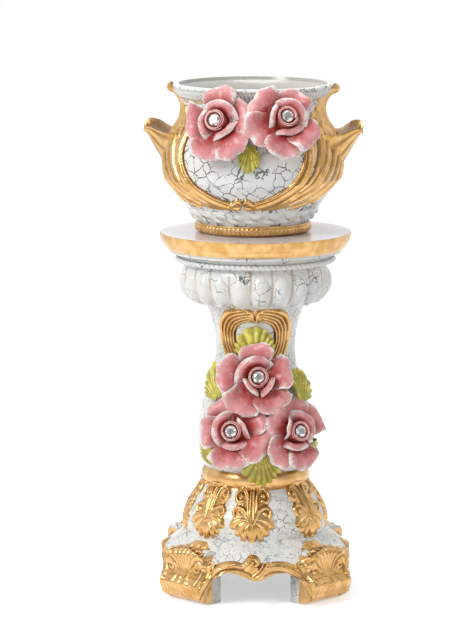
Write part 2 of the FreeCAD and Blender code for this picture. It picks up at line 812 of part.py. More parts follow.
def make_aprons():
    """S-scroll mouldings that edge the arches, one flat on each side of the plinth."""
    half, crown = sheet.get("arch_half_width"), sheet.get("arch_crown_width")
    tall, band = sheet.get("arch_height"), sheet.get("apron_band")
    drop, hang = sheet.get("pendant_drop"), sheet.get("pendant_half_width")
    right_half = [
        (0.0, tall + band * 1.55, 0.0),
        (hang * 0.75, tall + band * 1.45, 0.22),
        (hang * 1.05, tall + band * 0.55, -0.06),
        (crown * 0.86, tall + band, 0.2),
        (half - band * 0.35, tall * 0.62, 0.0),
        (half - band * 0.85, tall * 0.52, -0.12),
        (crown, tall, -0.11),
        (hang * 0.6, tall - drop, 0.0),
        (0.0, tall - drop, 0.0),
    ]
    face = Part.Face(bulged_wire(mirrored(right_half)))
    for turn, side in ((0, "front"), (90, "right"), (180, "back"), (270, "left")):
        shape = face.extrude(Vector(0, -sheet.get("apron_relief"), 0))
        shape.translate(Vector(0, -sheet.get("side_apothem"), 0))
        solid_piece(f"apron_scroll_{side}", shape, Placement(Vector(), Rotation(UP, turn)))


def make_foot_shells(base):
    """A fan of acanthus over the knee of each foot, cut from a skin laid on its outer face."""
    skin = foot_block("foot_skin", size("relief"))
    doc.recompute()
    core = doc.getObject("foot_block").Shape
    half, tall = sheet.get("shell_width") / 2, sheet.get("foot_height")
    outline = mirrored([
        (0.0, tall + 8.0, 0.0),
        (half, tall + 8.0, 0.0),
        (half, tall * 0.62, 0.12),
        (half * 0.55, tall * 0.3, 0.2),
        (0.0, tall * 0.16, 0.0),
    ])
    face = Part.Face(bulged_wire(outline))
    fan = face.extrude(Vector(0, FAR, 0))
    fan.rotate(Vector(), UP, -90)
    outside = Part.makeBox(FAR, FAR, FAR, Vector(sheet.get("knee_cap_radius"), -FAR / 2, 0))
    shape = skin.Shape.cut(core).common(fan).common(outside)
    shape.Placement = Placement(Vector(), Rotation(UP, 45))
    shape = largest(shape.cut(base.Shape))
    names = ("back_right", "back_left", "front_left", "front_right")
    for number, name in enumerate(names):
        solid_piece(f"foot_shell_{name}", shape, Placement(Vector(), Rotation(UP, 90 * number)))


def make_pot_relief(skin, mass):
    """The pot's two scroll frames, each the lower half of an oval with its ends run up to the
    neck, and the leaves that climb from the handles to the rim."""
    half, tall = sheet.get("pot_frame_width") / 2, sheet.get("pot_frame_height") / 2
    band = sheet.get("pot_frame_band")
    centre = pot_neck_level.value - sheet.get("pot_frame_drop")
    ovals = []
    for shrink in (0.0, band):
        oval = Part.Ellipse(Vector(), half - shrink, tall - shrink).toShape()
        oval.rotate(Vector(), Vector(1, 0, 0), 90)
        oval.translate(Vector(0, 0, centre))
        ovals.append(Part.Wire(oval))
    ring = Part.Face(ovals[0]).cut(Part.Face(ovals[1])).extrude(Vector(0, -FAR, 0))
    below_neck = Part.makeBox(2 * FAR, FAR, pot_neck_level.value, Vector(-FAR, -FAR, 0))
    ring = ring.common(below_neck)
    for side, angle in (("front", 0), ("back", 180)):
        solid_piece(f"pot_frame_{side}", plate(ring, skin, mass, angle), pot_place())
    width, neck = sheet.get("neck_leaf_width") / 2, sheet.get("pot_neck_height")
    top, foot = pot_top_level.value - 4.0, pot_neck_level.value
    climbing = mirrored([
        (0.0, top, 0.0),
        (width * 0.62, top, 0.0),
        (width, top - neck * 0.45, 0.12),
        (width * 0.8, foot + neck * 0.06, 0.0),
        (0.0, foot + neck * 0.06, 0.0),
    ])
    for side, angle in (("right", 90), ("left", 270)):
        solid_piece(f"neck_leaf_{side}", plate(prism(climbing), skin, mass, angle), pot_place())


# ---- roses ----
def outer_cup():
    """Section of the outer petals: rising from the core and curling over at the lip."""
    core, reach = size("core_radius"), size("outer_petal_reach")
    rise, thick = size("outer_petal_rise"), size("petal_thickness")
    outline = Outline(core, ZERO)
    outline.arc(reach * 0.62, rise * 0.72, reach, rise * 0.62)
    outline.line(reach, rise * 0.62 + thick)
    outline.arc(reach * 0.62, rise * 0.72 + thick, core, thick)
    outline.line(core, ZERO)
    outline.points[-1] = outline.points[0]
    return outline


def inner_cup():
    """Section of the inner petals: a steep cup round the bud."""
    core, reach = size("core_radius"), size("inner_petal_reach")
    foot, tall = size("inner_petal_level"), size("inner_petal_height")
    thick = size("petal_thickness")
    outline = Outline(core, foot)
    outline.arc(reach - 5.0, foot + tall * 0.3, reach, foot + tall)
    outline.line(reach - thick, foot + tall + thick * 0.3)
    outline.arc(reach - 5.0 - thick, foot + tall * 0.3 + thick * 1.2, core, foot + thick)
    outline.line(core, foot)
    outline.points[-1] = outline.points[0]
    return outline


def make_petal(name, cup, centre, radius):
    """One petal: where a round cutter beside the rose's axis meets the turned cup."""
    cutter = doc.addObject("Part::Cylinder", name + "_cutter")
    cutter.setExpression("Radius", radius.text)
    cutter.setExpression("Height", (size("bud_height") * 2.0).text)
    cutter.setExpression("Placement.Base.x", centre.text)
    return boolean("Common", name, cup, cutter)


def bud_solid():
    """The rolled core, with a stepped socket in its end for the stone."""
    radius = sheet.get("core_radius")
    top = sheet.get("bud_height")
    seat = sheet.get("stone_radius") + sheet.get("seat_clearance")
    bud = Part.makeCylinder(radius, top + 60, Vector(0, 0, -60))
    socket = Part.makeCylinder(seat, FAR, Vector(0, 0, top - sheet.get("stone_crown")))
    depth = sheet.get("stone_depth")
    point = Part.makeCone(0.6, seat, depth, Vector(0, 0, top - sheet.get("stone_crown") - depth))
    return bud.cut(socket).cut(point)


def stone_solid():
    """A chaton stone: pointed pavilion, girdle and a crown cut back to a flat table."""
    radius, depth = sheet.get("stone_radius"), sheet.get("stone_depth")
    crown = sheet.get("stone_crown")
    girdle = sheet.get("bud_height") - crown
    pavilion = Part.makeCone(0.4, radius, depth, Vector(0, 0, girdle - depth))
    top = Part.makeCone(radius, radius * 0.62, crown, Vector(0, 0, girdle))
    return pavilion.fuse(top).removeSplitter()


def surface_radius(mass, level):
    """How far a turned surface stands from the axis at a level."""
    ray = Part.makeLine(Vector(0, 0, level), Vector(FAR, 0, level))
    return mass.Shape.common(ray).BoundBox.XMax


def rose_place(mass, spot, level):
    """Where a rose sits: its petals' base plane stands off the surface along its own axis."""
    radius = surface_radius(mass, level)
    around, tilt = math.radians(spot["around"]), math.radians(spot["lift"])
    facing = math.radians(spot["facing"])
    foot = Vector(radius * math.sin(around), -radius * math.cos(around), level)
    axis = Vector(math.sin(facing) * math.cos(tilt), -math.cos(facing) * math.cos(tilt),
                  math.sin(tilt))
    spin = Rotation(UP, axis).multiply(Rotation(UP, spot["spin"]))
    return Placement(foot + axis * spot["stand_off"], spin)


def make_roses(stand_mass, pot_mass):
    """Five roses of loose clay petals, three on the column and two under the pot's rim."""
    cup = turned_solid("outer_cup", outer_cup())
    steep = turned_solid("inner_cup", inner_cup())
    reach, width = size("outer_petal_reach"), size("outer_petal_width")
    outer = make_petal("outer_petal", cup, reach - width * 0.5, width * 0.5)
    inner = make_petal("inner_petal", steep, size("inner_petal_reach") * 0.72,
                       size("inner_petal_reach") * 0.6)
    doc.recompute()
    bud, stone = bud_solid(), stone_solid()
    step = sheet.get("petal_level_step")
    petals = []
    for number, level in enumerate((0.0, step, 0.0, step, 2 * step)):
        petal = largest(outer.Shape).copy()
        petal.translate(Vector(0, 0, level))
        petal.rotate(Vector(), UP, 72.0 * number)
        petals.append(petal)
    hearts = []
    for number in range(3):
        petal = largest(inner.Shape).copy()
        petal.rotate(Vector(), UP, 36.0 + 120.0 * number)
        hearts.append(petal)
    for name, spot in {**COLUMN_ROSES, **POT_ROSES}.items():
        if name in POT_ROSES:
            mass, ground = pot_mass, pot_place()
            level = pot_neck_level.value + spot["rise"]
        else:
            mass, ground = stand_mass, Placement()
            level = column_level.value + sheet.get("column_height") * spot["share"]
        seat = rose_place(mass, spot, level)
        place = ground.multiply(seat)
        solid_piece(f"{name}_outer_petals", Part.makeCompound(petals), place)
        solid_piece(f"{name}_inner_petals", Part.makeCompound(hearts), place)
        solid_piece(f"{name}_stone", stone, place)
        core = bud.copy()
        core.Placement = seat
        solid_piece(f"{name}_bud", largest(core.cut(mass.Shape)), ground)


# ---- leaves ----
def make_leaves(stand_mass, pot_skin, pot_mass):
    """Leaves of thin clay: those on the column lie on it, the low ones bridge to the ring."""
    thick = sheet.get("leaf_thickness")
    skin = turned_solid("leaf_skin", stand_outline(size("leaf_thickness")))
    doc.recompute()
    tall, foot = size("column_height").value, column_level.value
    for name, leaf in COLUMN_LEAVES.items():
        low = foot + tall * leaf["share"]
        cutter = prism(leaf_points(leaf["length"], leaf["width"], low, leaf["roll"]))
        solid_piece(name, plate(cutter, skin, stand_mass, leaf["turn"]))
    inner, outer = sheet.get("ring_radius"), sheet.get("swell_radius")
    lowest = min(leaf["rise"] for leaf in RING_LEAVES.values())
    low, high = ring_level.value + lowest, foot + tall * 0.18
    middle = ring_level.value + sheet.get("ring_height") * 0.5
    band = Part.makePolygon([
        Vector(inner, 0, low), Vector(inner + thick, 0, low), Vector(inner + thick, 0, middle),
        Vector(outer + thick, 0, high), Vector(outer, 0, high), Vector(inner, 0, middle),
        Vector(inner, 0, low)])
    bridge = Part.Face(band).revolve(Vector(), UP, 360)
    for name, leaf in RING_LEAVES.items():
        tip = ring_level.value + leaf["rise"]
        cutter = prism(leaf_points(leaf["length"], leaf["width"], tip, leaf["roll"]))
        cutter.rotate(Vector(), UP, leaf["turn"])
        solid_piece(name, largest(bridge.common(cutter).cut(stand_mass.Shape)))
    for name, leaf in POT_LEAVES.items():
        low = pot_root_level.value + pot_body_height.value * leaf["share"]
        cutter = prism(leaf_points(leaf["length"], leaf["width"], low))
        solid_piece(name, plate(cutter, pot_skin, pot_mass, leaf["turn"]), pot_place())


def check_document():
    bad = [o.Name for o in doc.Objects if {"Invalid", "Error"} & set(o.State)]
    if bad:
        raise RuntimeError(f"features failed: {bad}")


def main():
    base = make_base()
    make_column()
    make_capital()
    make_pot()
    stand_mass = turned_solid("stand_mass", stand_outline(ZERO))
    stand_skin = turned_solid("stand_skin", stand_outline(size("relief")))
    pot_mass = turned_solid("pot_mass", pot_outline(ZERO))
    pot_skin = turned_solid("pot_skin", pot_outline(size("relief")))
    doc.recompute()
    check_document()
    make_handles(pot_mass)
    make_sprigs(stand_skin, stand_mass)
    make_column_frames(stand_skin, stand_mass)
    make_aprons()
    make_foot_shells(base)
    make_pot_relief(pot_skin, pot_mass)
    make_roses(stand_mass, pot_mass)
    make_leaves(stand_mass, pot_skin, pot_mass)
    doc.recompute()
    check_document()
    nodes = ["base_casting", "column_casting", "capital_casting", "pot_bowl",
             "handle_left", "handle_right", "column_frame_front", "column_frame_back",
             "pot_frame_front", "pot_frame_back", "neck_leaf_left", "neck_leaf_right"]
    nodes += [f"bell_sprig_{number}" for number in range(1, len(SPRIG_TURNS) + 1)]
    nodes += [f"apron_scroll_{side}" for side in ("front", "right", "back", "left")]
    nodes += [f"foot_shell_{corner}"
              for corner in ("front_left", "front_right", "back_left", "back_right")]
    nodes += [f"{rose}_{piece}" for rose in (*COLUMN_ROSES, *POT_ROSES)
              for piece in ("outer_petals", "inner_petals", "bud", "stone")]
    nodes += [*COLUMN_LEAVES, *RING_LEAVES, *POT_LEAVES]
    os.makedirs("parts", exist_ok=True)
    for name in nodes:
        shape = doc.getObject(name).Shape
        if shape.isNull() or not shape.isValid() or not shape.Solids:
            raise RuntimeError(f"{name} has no valid solid")
    for name in nodes:
        doc.getObject(name).Shape.exportStep(f"parts/{name}.step")
    print(len(nodes), "pieces written")


main()
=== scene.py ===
import math

import bpy
import numpy as np
from mathutils import Matrix, Vector
from mathutils.bvhtree import BVHTree


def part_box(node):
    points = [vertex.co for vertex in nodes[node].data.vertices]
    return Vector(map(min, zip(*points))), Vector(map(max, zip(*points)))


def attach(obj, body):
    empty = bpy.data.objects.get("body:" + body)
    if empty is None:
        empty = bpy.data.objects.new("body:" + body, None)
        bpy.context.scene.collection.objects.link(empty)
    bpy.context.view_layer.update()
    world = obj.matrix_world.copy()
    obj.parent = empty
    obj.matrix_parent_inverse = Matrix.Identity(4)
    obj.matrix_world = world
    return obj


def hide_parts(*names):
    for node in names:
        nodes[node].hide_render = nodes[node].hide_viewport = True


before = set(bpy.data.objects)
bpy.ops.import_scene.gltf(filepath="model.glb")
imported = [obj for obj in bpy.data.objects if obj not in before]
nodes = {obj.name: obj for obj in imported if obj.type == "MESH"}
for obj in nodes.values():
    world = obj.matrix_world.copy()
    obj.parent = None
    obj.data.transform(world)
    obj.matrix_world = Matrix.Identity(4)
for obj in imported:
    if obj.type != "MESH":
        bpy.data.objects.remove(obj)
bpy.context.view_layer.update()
mm = 0.001
potAxis = -3.0  # the pot stands this far off centre, in millimetres
scene = bpy.context.scene
scene.view_settings.view_transform = "Standard"
print("frame loaded:", len(nodes), "nodes")

# camera, lights, floor
studio = {
    "cameraAt": (-0.02403, -4.35286, 0.9987), "tiltDown": 8.754, "lens": 205.47,
    "floorSize": 14.0, "floorBounce": (0.72, 0.72, 0.73), "floorColour": (0.88, 0.88, 0.90),
    "floorGlow": 0.48,
    "worldLevel": 0.60, "roomFront": 0.42,
    "lamps": [
        # name, place, aim, width, height, watts
        ("keyLamp", (-1.7, -1.6, 1.9), (0.0, 0.0, 0.30), 0.9, 1.2, 40.0),
        ("fillLamp", (1.9, -2.2, 0.9), (0.0, 0.0, 0.30), 0.6, 1.2, 5.0),
        ("topLamp", (-0.1, 0.2, 2.2), (0.0, 0.0, 0.40), 0.9, 0.9, 15.0),
    ],
}
lens = bpy.data.cameras.new("photoCamera")
lens.lens, lens.sensor_width, lens.clip_end = studio["lens"], 36.0, 100.0
camera = bpy.data.objects.new("photoCamera", lens)
camera.location = studio["cameraAt"]
camera.rotation_euler = (math.radians(90.0 - studio["tiltDown"]), 0.0, 0.0)
scene.collection.objects.link(camera)
scene.camera = camera
for name, place, aim, width, height, watts in studio["lamps"]:
    light = bpy.data.lights.new(name, "AREA")
    light.shape, light.size, light.size_y, light.energy = "RECTANGLE", width, height, watts
    lamp = bpy.data.objects.new(name, light)
    lamp.location = place
    lamp.rotation_euler = (Vector(aim) - Vector(place)).to_track_quat("-Z", "Y").to_euler()
    scene.collection.objects.link(lamp)


def nodeOf(tree, kind, inputs=None, **settings):
    made = tree.nodes.new(kind)
    for key, value in settings.items():
        setattr(made, key, value)
    for key, value in (inputs or {}).items():
        if isinstance(value, bpy.types.NodeSocket):
            tree.links.new(value, made.inputs[key])
        else:
            made.inputs[key].default_value = value
    return made


world = bpy.data.worlds.new("studioWorld")
scene.world = world
world.use_nodes = True
tree = world.node_tree
tree.nodes.clear()
path = nodeOf(tree, "ShaderNodeLightPath")
seen = nodeOf(tree, "ShaderNodeMath", {0: path.outputs["Is Camera Ray"], 1: path.outputs["Is Glossy Ray"]},
              operation="MAXIMUM")
seen = nodeOf(tree, "ShaderNodeMath", {0: seen.outputs[0], 1: path.outputs["Is Transmission Ray"]},
              operation="MAXIMUM")
dim = nodeOf(tree, "ShaderNodeBackground", {"Color": (1, 1, 1, 1), "Strength": studio["worldLevel"]})
way = nodeOf(tree, "ShaderNodeSeparateXYZ", {0: nodeOf(tree, "ShaderNodeTexCoord").outputs["Generated"]})
room = nodeOf(tree, "ShaderNodeMapRange", {"Value": way.outputs[1], "From Min": -0.75, "From Max": 0.25,
                                           "To Min": studio["roomFront"], "To Max": 1.0},
              interpolation_type="SMOOTHSTEP")
room = nodeOf(tree, "ShaderNodeMath", {0: room.outputs[0], 1: path.outputs["Is Camera Ray"]},
              operation="MAXIMUM")
white = nodeOf(tree, "ShaderNodeBackground", {"Color": (1, 1, 1, 1), "Strength": room.outputs[0]})
both = nodeOf(tree, "ShaderNodeMixShader", {0: seen.outputs[0], 1: dim.outputs[0], 2: white.outputs[0]})
nodeOf(tree, "ShaderNodeOutputWorld", {"Surface": both.outputs[0]})

bpy.ops.object.select_all(action="DESELECT")
bpy.ops.mesh.primitive_plane_add(size=studio["floorSize"], location=(0, 0, 0))
floor = bpy.context.object
floor.name = "studioFloor"
floorPaint = bpy.data.materials.new("floorPaint")
floorPaint.use_nodes = True
tree = floorPaint.node_tree
tree.nodes.clear()
path = nodeOf(tree, "ShaderNodeLightPath")
seen = nodeOf(tree, "ShaderNodeMath", {0: path.outputs["Is Camera Ray"], 1: path.outputs["Is Glossy Ray"]},
              operation="MAXIMUM")
bounce = nodeOf(tree, "ShaderNodeBsdfDiffuse", {"Color": (*studio["floorBounce"], 1)})
paint = nodeOf(tree, "ShaderNodeBsdfDiffuse", {"Color": (*studio["floorColour"], 1)})
glow = nodeOf(tree, "ShaderNodeEmission", {"Strength": studio["floorGlow"]})
both = nodeOf(tree, "ShaderNodeAddShader", {0: paint.outputs[0], 1: glow.outputs[0]})
both = nodeOf(tree, "ShaderNodeMixShader", {0: seen.outputs[0], 1: bounce.outputs[0], 2: both.outputs[0]})
nodeOf(tree, "ShaderNodeOutputMaterial", {"Surface": both.outputs[0]})
floor.data.materials.append(floorPaint)
print("studio set")


# finishes
def newFinish(name):
    finish = bpy.data.materials.new(name)
    finish.use_nodes = True
    tree = finish.node_tree
    shader = tree.nodes["Principled BSDF"]
    where = nodeOf(tree, "ShaderNodeTexCoord").outputs["Object"]
    return finish, tree, shader, where


def calc(tree, operation, a, b=0.0, c=0.0):
    return nodeOf(tree, "ShaderNodeMath", {0: a, 1: b, 2: c}, operation=operation).outputs[0]


def vectorCalc(tree, operation, inputs):
    return nodeOf(tree, "ShaderNodeVectorMath", inputs, operation=operation).outputs[0]


def ramp(tree, value, low, high, start=0.0, end=1.0):
    made = nodeOf(tree, "ShaderNodeMapRange",
                  {"Value": value, "From Min": low, "From Max": high, "To Min": start, "To Max": end},
                  interpolation_type="SMOOTHSTEP")
    return made.outputs["Result"]


def mixColour(tree, share, a, b):
    made = nodeOf(tree, "ShaderNodeMix", data_type="RGBA")
    for index, value in ((0, share), (6, a), (7, b)):
        if isinstance(value, bpy.types.NodeSocket):
            tree.links.new(value, made.inputs[index])
        else:
            made.inputs[index].default_value = value if index == 0 else (*value, 1.0)
    return made.outputs[2]


def grain(tree, where, size, detail=3.0, rough=0.55, wanted="Fac"):
    # size is the feature size in millimetres
    return nodeOf(tree, "ShaderNodeTexNoise", {"Vector": where, "Scale": 1.0 / (size * mm),
                                               "Detail": detail, "Roughness": rough}).outputs[wanted]


def painted(tree, label):
    return nodeOf(tree, "ShaderNodeAttribute", attribute_name=label).outputs["Fac"]


def crazing(tree, where, cell, line, gaps, jag=0.24):
    # the wandering lines of a crackle glaze, which thin out and vanish in patches
    wander = grain(tree, where, cell * 0.6, 2.0, 0.55, "Color")
    shift = vectorCalc(tree, "SUBTRACT", {0: wander, 1: (0.5, 0.5, 0.5)})
    shift = vectorCalc(tree, "SCALE", {0: shift, "Scale": cell * mm * jag * 2})
    bent = vectorCalc(tree, "ADD", {0: where, 1: shift})
    cells = nodeOf(tree, "ShaderNodeTexVoronoi", {"Vector": bent, "Scale": 1.0 / (cell * mm)},
                   feature="DISTANCE_TO_EDGE").outputs["Distance"]
    patch = grain(tree, where, cell * 1.9, 2.0)
    thick = ramp(tree, patch, gaps - 0.08, gaps + 0.16, 0.0, line / cell)
    gap = calc(tree, "SUBTRACT", thick, cells)
    return ramp(tree, gap, 0.0, line / cell * 0.3)


def bumpOf(tree, height, distance, strength=1.0, base=None):
    inputs = {"Height": height, "Distance": distance * mm, "Strength": strength}
    if base is not None:
        inputs["Normal"] = base
    return nodeOf(tree, "ShaderNodeBump", inputs).outputs[0]


def lay(tree, shader, **sockets):
    for key, value in sockets.items():
        key = key.replace("_", " ")
        if isinstance(value, bpy.types.NodeSocket):
            tree.links.new(value, shader.inputs[key])
        else:
            shader.inputs[key].default_value = value


glazeColours = {
    "ivory": (0.78, 0.765, 0.715), "cool": (0.73, 0.75, 0.735), "crack": (0.05, 0.052, 0.06),
    "stain": (0.42, 0.27, 0.12), "goldLight": (0.74, 0.465, 0.205), "goldDeep": (0.57, 0.325, 0.105),
    # inside is the pot's inner wall darkened to grey: painted shade
    "goldBrown": (0.16, 0.07, 0.02), "plate": (0.74, 0.735, 0.765), "inside": (0.46, 0.46, 0.42),
}


def goldColour(tree, where, hollow=None):
    tone = grain(tree, where, 14.0, 4.0)
    colour = mixColour(tree, ramp(tree, tone, 0.35, 0.65), glazeColours["goldLight"],
                       glazeColours["goldDeep"])
    speck = grain(tree, where, 1.6, 3.0, 0.7)
    wearAndShade = ramp(tree, speck, 0.66, 0.76, 0.0, 0.55)
    # the specks are rubbed wear; the hollows of the relief brown as well, partly the gilt's patina and partly
    # painted shade
    if hollow is not None:
        wearAndShade = calc(tree, "MAXIMUM", wearAndShade, calc(tree, "MULTIPLY", hollow, 0.85))
    return mixColour(tree, wearAndShade, colour, glazeColours["goldBrown"])


def goldBump(tree, where):
    soft = grain(tree, where, 5.0, 4.0, 0.6)
    return bumpOf(tree, soft, 0.7, 0.35)


def glazeColour(tree, where, big, small):
    tone = grain(tree, where, 45.0, 2.0)
    colour = mixColour(tree, ramp(tree, tone, 0.35, 0.65), glazeColours["ivory"], glazeColours["cool"])
    crack = None
    for cell, line, gaps in (big, small):
        found = crazing(tree, where, cell, line, gaps)
        crack = found if crack is None else calc(tree, "MAXIMUM", crack, calc(tree, "MULTIPLY", found, 0.75))
    return mixColour(tree, calc(tree, "MULTIPLY", crack, 0.86), colour, glazeColours["crack"]), crack


def crackleFinish(name, big, small, gilt=None, antique=None, plain=None, stained=False):
    # gilt gives the share painted with lustre, antique the brown wash, plain the glossy uncracked part
    finish, tree, shader, where = newFinish(name)
    colour, crack = glazeColour(tree, where, big, small)
    if stained:
        hollow = painted(tree, "hollow")
        loose = ramp(tree, grain(tree, where, 9.0, 3.0), 0.3, 0.6, 0.35, 1.0)
        wash = calc(tree, "MULTIPLY", ramp(tree, hollow, 0.02, 0.5), loose)
        colour = mixColour(tree, wash, colour, glazeColours["stain"])
    if plain:
        share, tint = plain(tree, where)
        smudge = ramp(tree, grain(tree, where, 26.0, 5.0, 0.7), 0.70, 0.74, 0.0, 0.6)
        tint = mixColour(tree, smudge, glazeColours[tint], glazeColours["stain"])
        colour = mixColour(tree, share, colour, tint)
        crack = calc(tree, "MULTIPLY", crack, calc(tree, "SUBTRACT", 1.0, share))
    if antique:
        colour = mixColour(tree, antique(tree, where), colour, glazeColours["stain"])
    dent = bumpOf(tree, crack, -0.12, 0.5)
    metal, rough = 0.0, 0.16
    if gilt:
        share = gilt(tree, where)
        colour = mixColour(tree, share, colour, goldColour(tree, where))
        metal = calc(tree, "MULTIPLY", share, 0.92)
        rough = calc(tree, "MULTIPLY_ADD", share, 0.14, 0.16)
        dent = bumpOf(tree, grain(tree, where, 5.0, 4.0, 0.6), 0.5, 0.35, dent)
    lay(tree, shader, Base_Color=colour, Metallic=metal, Roughness=rough, Normal=dent)
    return finish


def goldFinish(name):
    finish, tree, shader, where = newFinish(name)
    hollow = painted(tree, "hollow")
    colour = goldColour(tree, where, ramp(tree, hollow, 0.08, 0.75))
    rough = ramp(tree, grain(tree, where, 6.0, 3.0), 0.3, 0.7, 0.20, 0.32)
    lay(tree, shader, Base_Color=colour, Metallic=0.94, Roughness=rough, Normal=goldBump(tree, where))
    return finish


def split(tree, where):
    made = nodeOf(tree, "ShaderNodeSeparateXYZ", {0: where})
    return made.outputs[0], made.outputs[1], made.outputs[2]


def above(tree, z, level, soft=0.5, wobble=None):
    edge = z if wobble is None else calc(tree, "ADD", z, wobble)
    return ramp(tree, edge, (level - soft) * mm, (level + soft) * mm)


def within(tree, z, low, high, soft=0.4, wobble=None):
    return calc(tree, "MULTIPLY", above(tree, z, low, soft, wobble),
                calc(tree, "SUBTRACT", 1.0, above(tree, z, high, soft, wobble)))


def handWobble(tree, where, size, reach):
    loose = grain(tree, where, size, 2.0)
    return calc(tree, "MULTIPLY", calc(tree, "SUBTRACT", loose, 0.5), reach * mm)


def baseGilt(tree, where):
    # the turned ring, and the outside of each foot
    x, y, z = split(tree, where)
    ring = above(tree, z, 132.0, 0.5)
    ax, ay = calc(tree, "ABSOLUTE", x), calc(tree, "ABSOLUTE", y)
    out = calc(tree, "MULTIPLY", calc(tree, "ADD", ax, ay), 0.70711)
    across = calc(tree, "ABSOLUTE", calc(tree, "MULTIPLY", calc(tree, "SUBTRACT", ax, ay), 0.70711))
    loose = handWobble(tree, where, 6.0, 3.0)
    toe = calc(tree, "MULTIPLY", above(tree, calc(tree, "ADD", out, loose), 104.0, 0.5),
               calc(tree, "SUBTRACT", 1.0, above(tree, across, 31.4, 0.4)))
    toe = calc(tree, "MULTIPLY", toe, calc(tree, "SUBTRACT", 1.0, above(tree, z, 60.0, 0.5)))
    toe = calc(tree, "MULTIPLY", toe, above(tree, z, 1.5, 0.4))
    return calc(tree, "MAXIMUM", ring, toe)


def rimGilt(tree, where):
    z = split(tree, where)[2]
    loose = handWobble(tree, where, 9.0, 1.2)
    return within(tree, z, 417.2, 436.6, 0.35, loose)


def footGilt(tree, where):
    z = split(tree, where)[2]
    return calc(tree, "SUBTRACT", 1.0, above(tree, z, 449.6, 0.5, handWobble(tree, where, 7.0, 2.0)))


def plateTop(tree, where):
    z = split(tree, where)[2]
    return above(tree, z, 436.7, 0.2), "plate"


def shadedPotInside(tree, where):
    # where the wall faces the pot's own axis; this inner wall gets the darker grey inside tint, painted shade
    # under the rim
    facing = nodeOf(tree, "ShaderNodeNewGeometry").outputs["True Normal"]
    nx, ny = split(tree, facing)[:2]
    x, y, z = split(tree, where)
    inwards = calc(tree, "ADD", calc(tree, "MULTIPLY", nx, calc(tree, "SUBTRACT", x, potAxis * mm)),
                   calc(tree, "MULTIPLY", ny, y))
    share = calc(tree, "SUBTRACT", 1.0, ramp(tree, inwards, -6.0 * mm, 0.0))
    return calc(tree, "MULTIPLY", share, above(tree, z, 455.0, 1.0)), "inside"


def lobeStain(tree, where):
    # brown wash caught between the gadroons
    x, y, z = split(tree, where)
    out = calc(tree, "SQRT", calc(tree, "ADD", calc(tree, "MULTIPLY", x, x), calc(tree, "MULTIPLY", y, y)))
    turn = calc(tree, "ARCTAN2", y, x)
    wave = calc(tree, "COSINE", calc(tree, "MULTIPLY", turn, 21.0))
    valley = ramp(tree, wave, -0.86, -1.0)
    patch = ramp(tree, grain(tree, where, 16.0, 2.0), 0.35, 0.6, 0.35, 1.0)
    low = within(tree, z, 356.0, 402.0, 3.0)
    return calc(tree, "MULTIPLY", calc(tree, "MULTIPLY", valley, low), calc(tree, "MULTIPLY", patch, 0.7))


finishes = {
    "pot": crackleFinish("potGlaze", (13.0, 0.66, 0.38), (5.0, 0.22, 0.62), footGilt, plain=shadedPotInside),
    "base": crackleFinish("baseGlaze", (9.0, 0.34, 0.50), (4.2, 0.2, 0.48), baseGilt),
    "column": crackleFinish("columnGlaze", (8.0, 0.32, 0.50), (3.6, 0.18, 0.50)),
    "capital": crackleFinish("capitalGlaze", (14.0, 0.42, 0.50),
                             (5.0, 0.2, 0.62), rimGilt, lobeStain, plateTop),
    "antique": crackleFinish("antiqueGlaze", (14.0, 0.4, 0.52), (5.0, 0.2, 0.6), stained=True),
    "gold": goldFinish("goldLustre"),
}


def petalFinish(name, light, mid, deep):
    finish, tree, shader, where = newFinish(name)
    rim = painted(tree, "rim")
    depth = painted(tree, "depth")
    brush = grain(tree, where, 2.2, 4.0, 0.7)
    cloud = grain(tree, where, 11.0, 3.0)
    # darker towards the rose's heart: partly the deeper paint at the petals' base, partly painted shade where
    # they sink into the core
    level = calc(tree, "ADD", depth, calc(tree, "MULTIPLY", calc(tree, "SUBTRACT", cloud, 0.5), 0.35))
    colour = mixColour(tree, ramp(tree, level, 0.38, 0.92), deep, mid)
    blush = grain(tree, where, 9.0, 5.0, 0.7)
    colour = mixColour(tree, ramp(tree, blush, 0.5, 0.72, 0.0, 0.28), colour, light)
    edge = calc(tree, "ADD", rim, calc(tree, "MULTIPLY", calc(tree, "SUBTRACT", brush, 0.5), 0.45))
    edge = calc(tree, "ADD", edge, calc(tree, "MULTIPLY", calc(tree, "SUBTRACT", cloud, 0.5), 0.60))
    colour = mixColour(tree, ramp(tree, edge, 0.42, 0.92, 0.0, 0.20), colour, light)
    colour = mixColour(tree, ramp(tree, edge, 0.86, 1.02), colour, light)
    vein = crazing(tree, where, 11.0, 0.20, 0.52, 0.5)
    colour = mixColour(tree, calc(tree, "MULTIPLY", vein, 0.5), colour, (0.12, 0.06, 0.07))
    lay(tree, shader, Base_Color=colour, Roughness=0.30, Normal=bumpOf(tree, brush, 0.35, 0.35))
    return finish


def leafFinish(name):
    finish, tree, shader, where = newFinish(name)
    vein = painted(tree, "vein")
    cloud = grain(tree, where, 12.0, 3.0)
    colour = mixColour(tree, ramp(tree, cloud, 0.38, 0.60), (0.80, 0.72, 0.13), (0.47, 0.46, 0.06))
    gold = grain(tree, where, 7.0, 3.0)
    colour = mixColour(tree, ramp(tree, gold, 0.52, 0.66, 0.0, 0.8), colour, (0.52, 0.34, 0.05))
    colour = mixColour(tree, ramp(tree, vein, 0.6, 1.0, 0.0, 0.6), colour, (0.17, 0.125, 0.015))
    speck = grain(tree, where, 2.0, 4.0, 0.7)
    lay(tree, shader, Base_Color=colour, Roughness=0.32, Normal=bumpOf(tree, speck, 0.3, 0.3))
    return finish


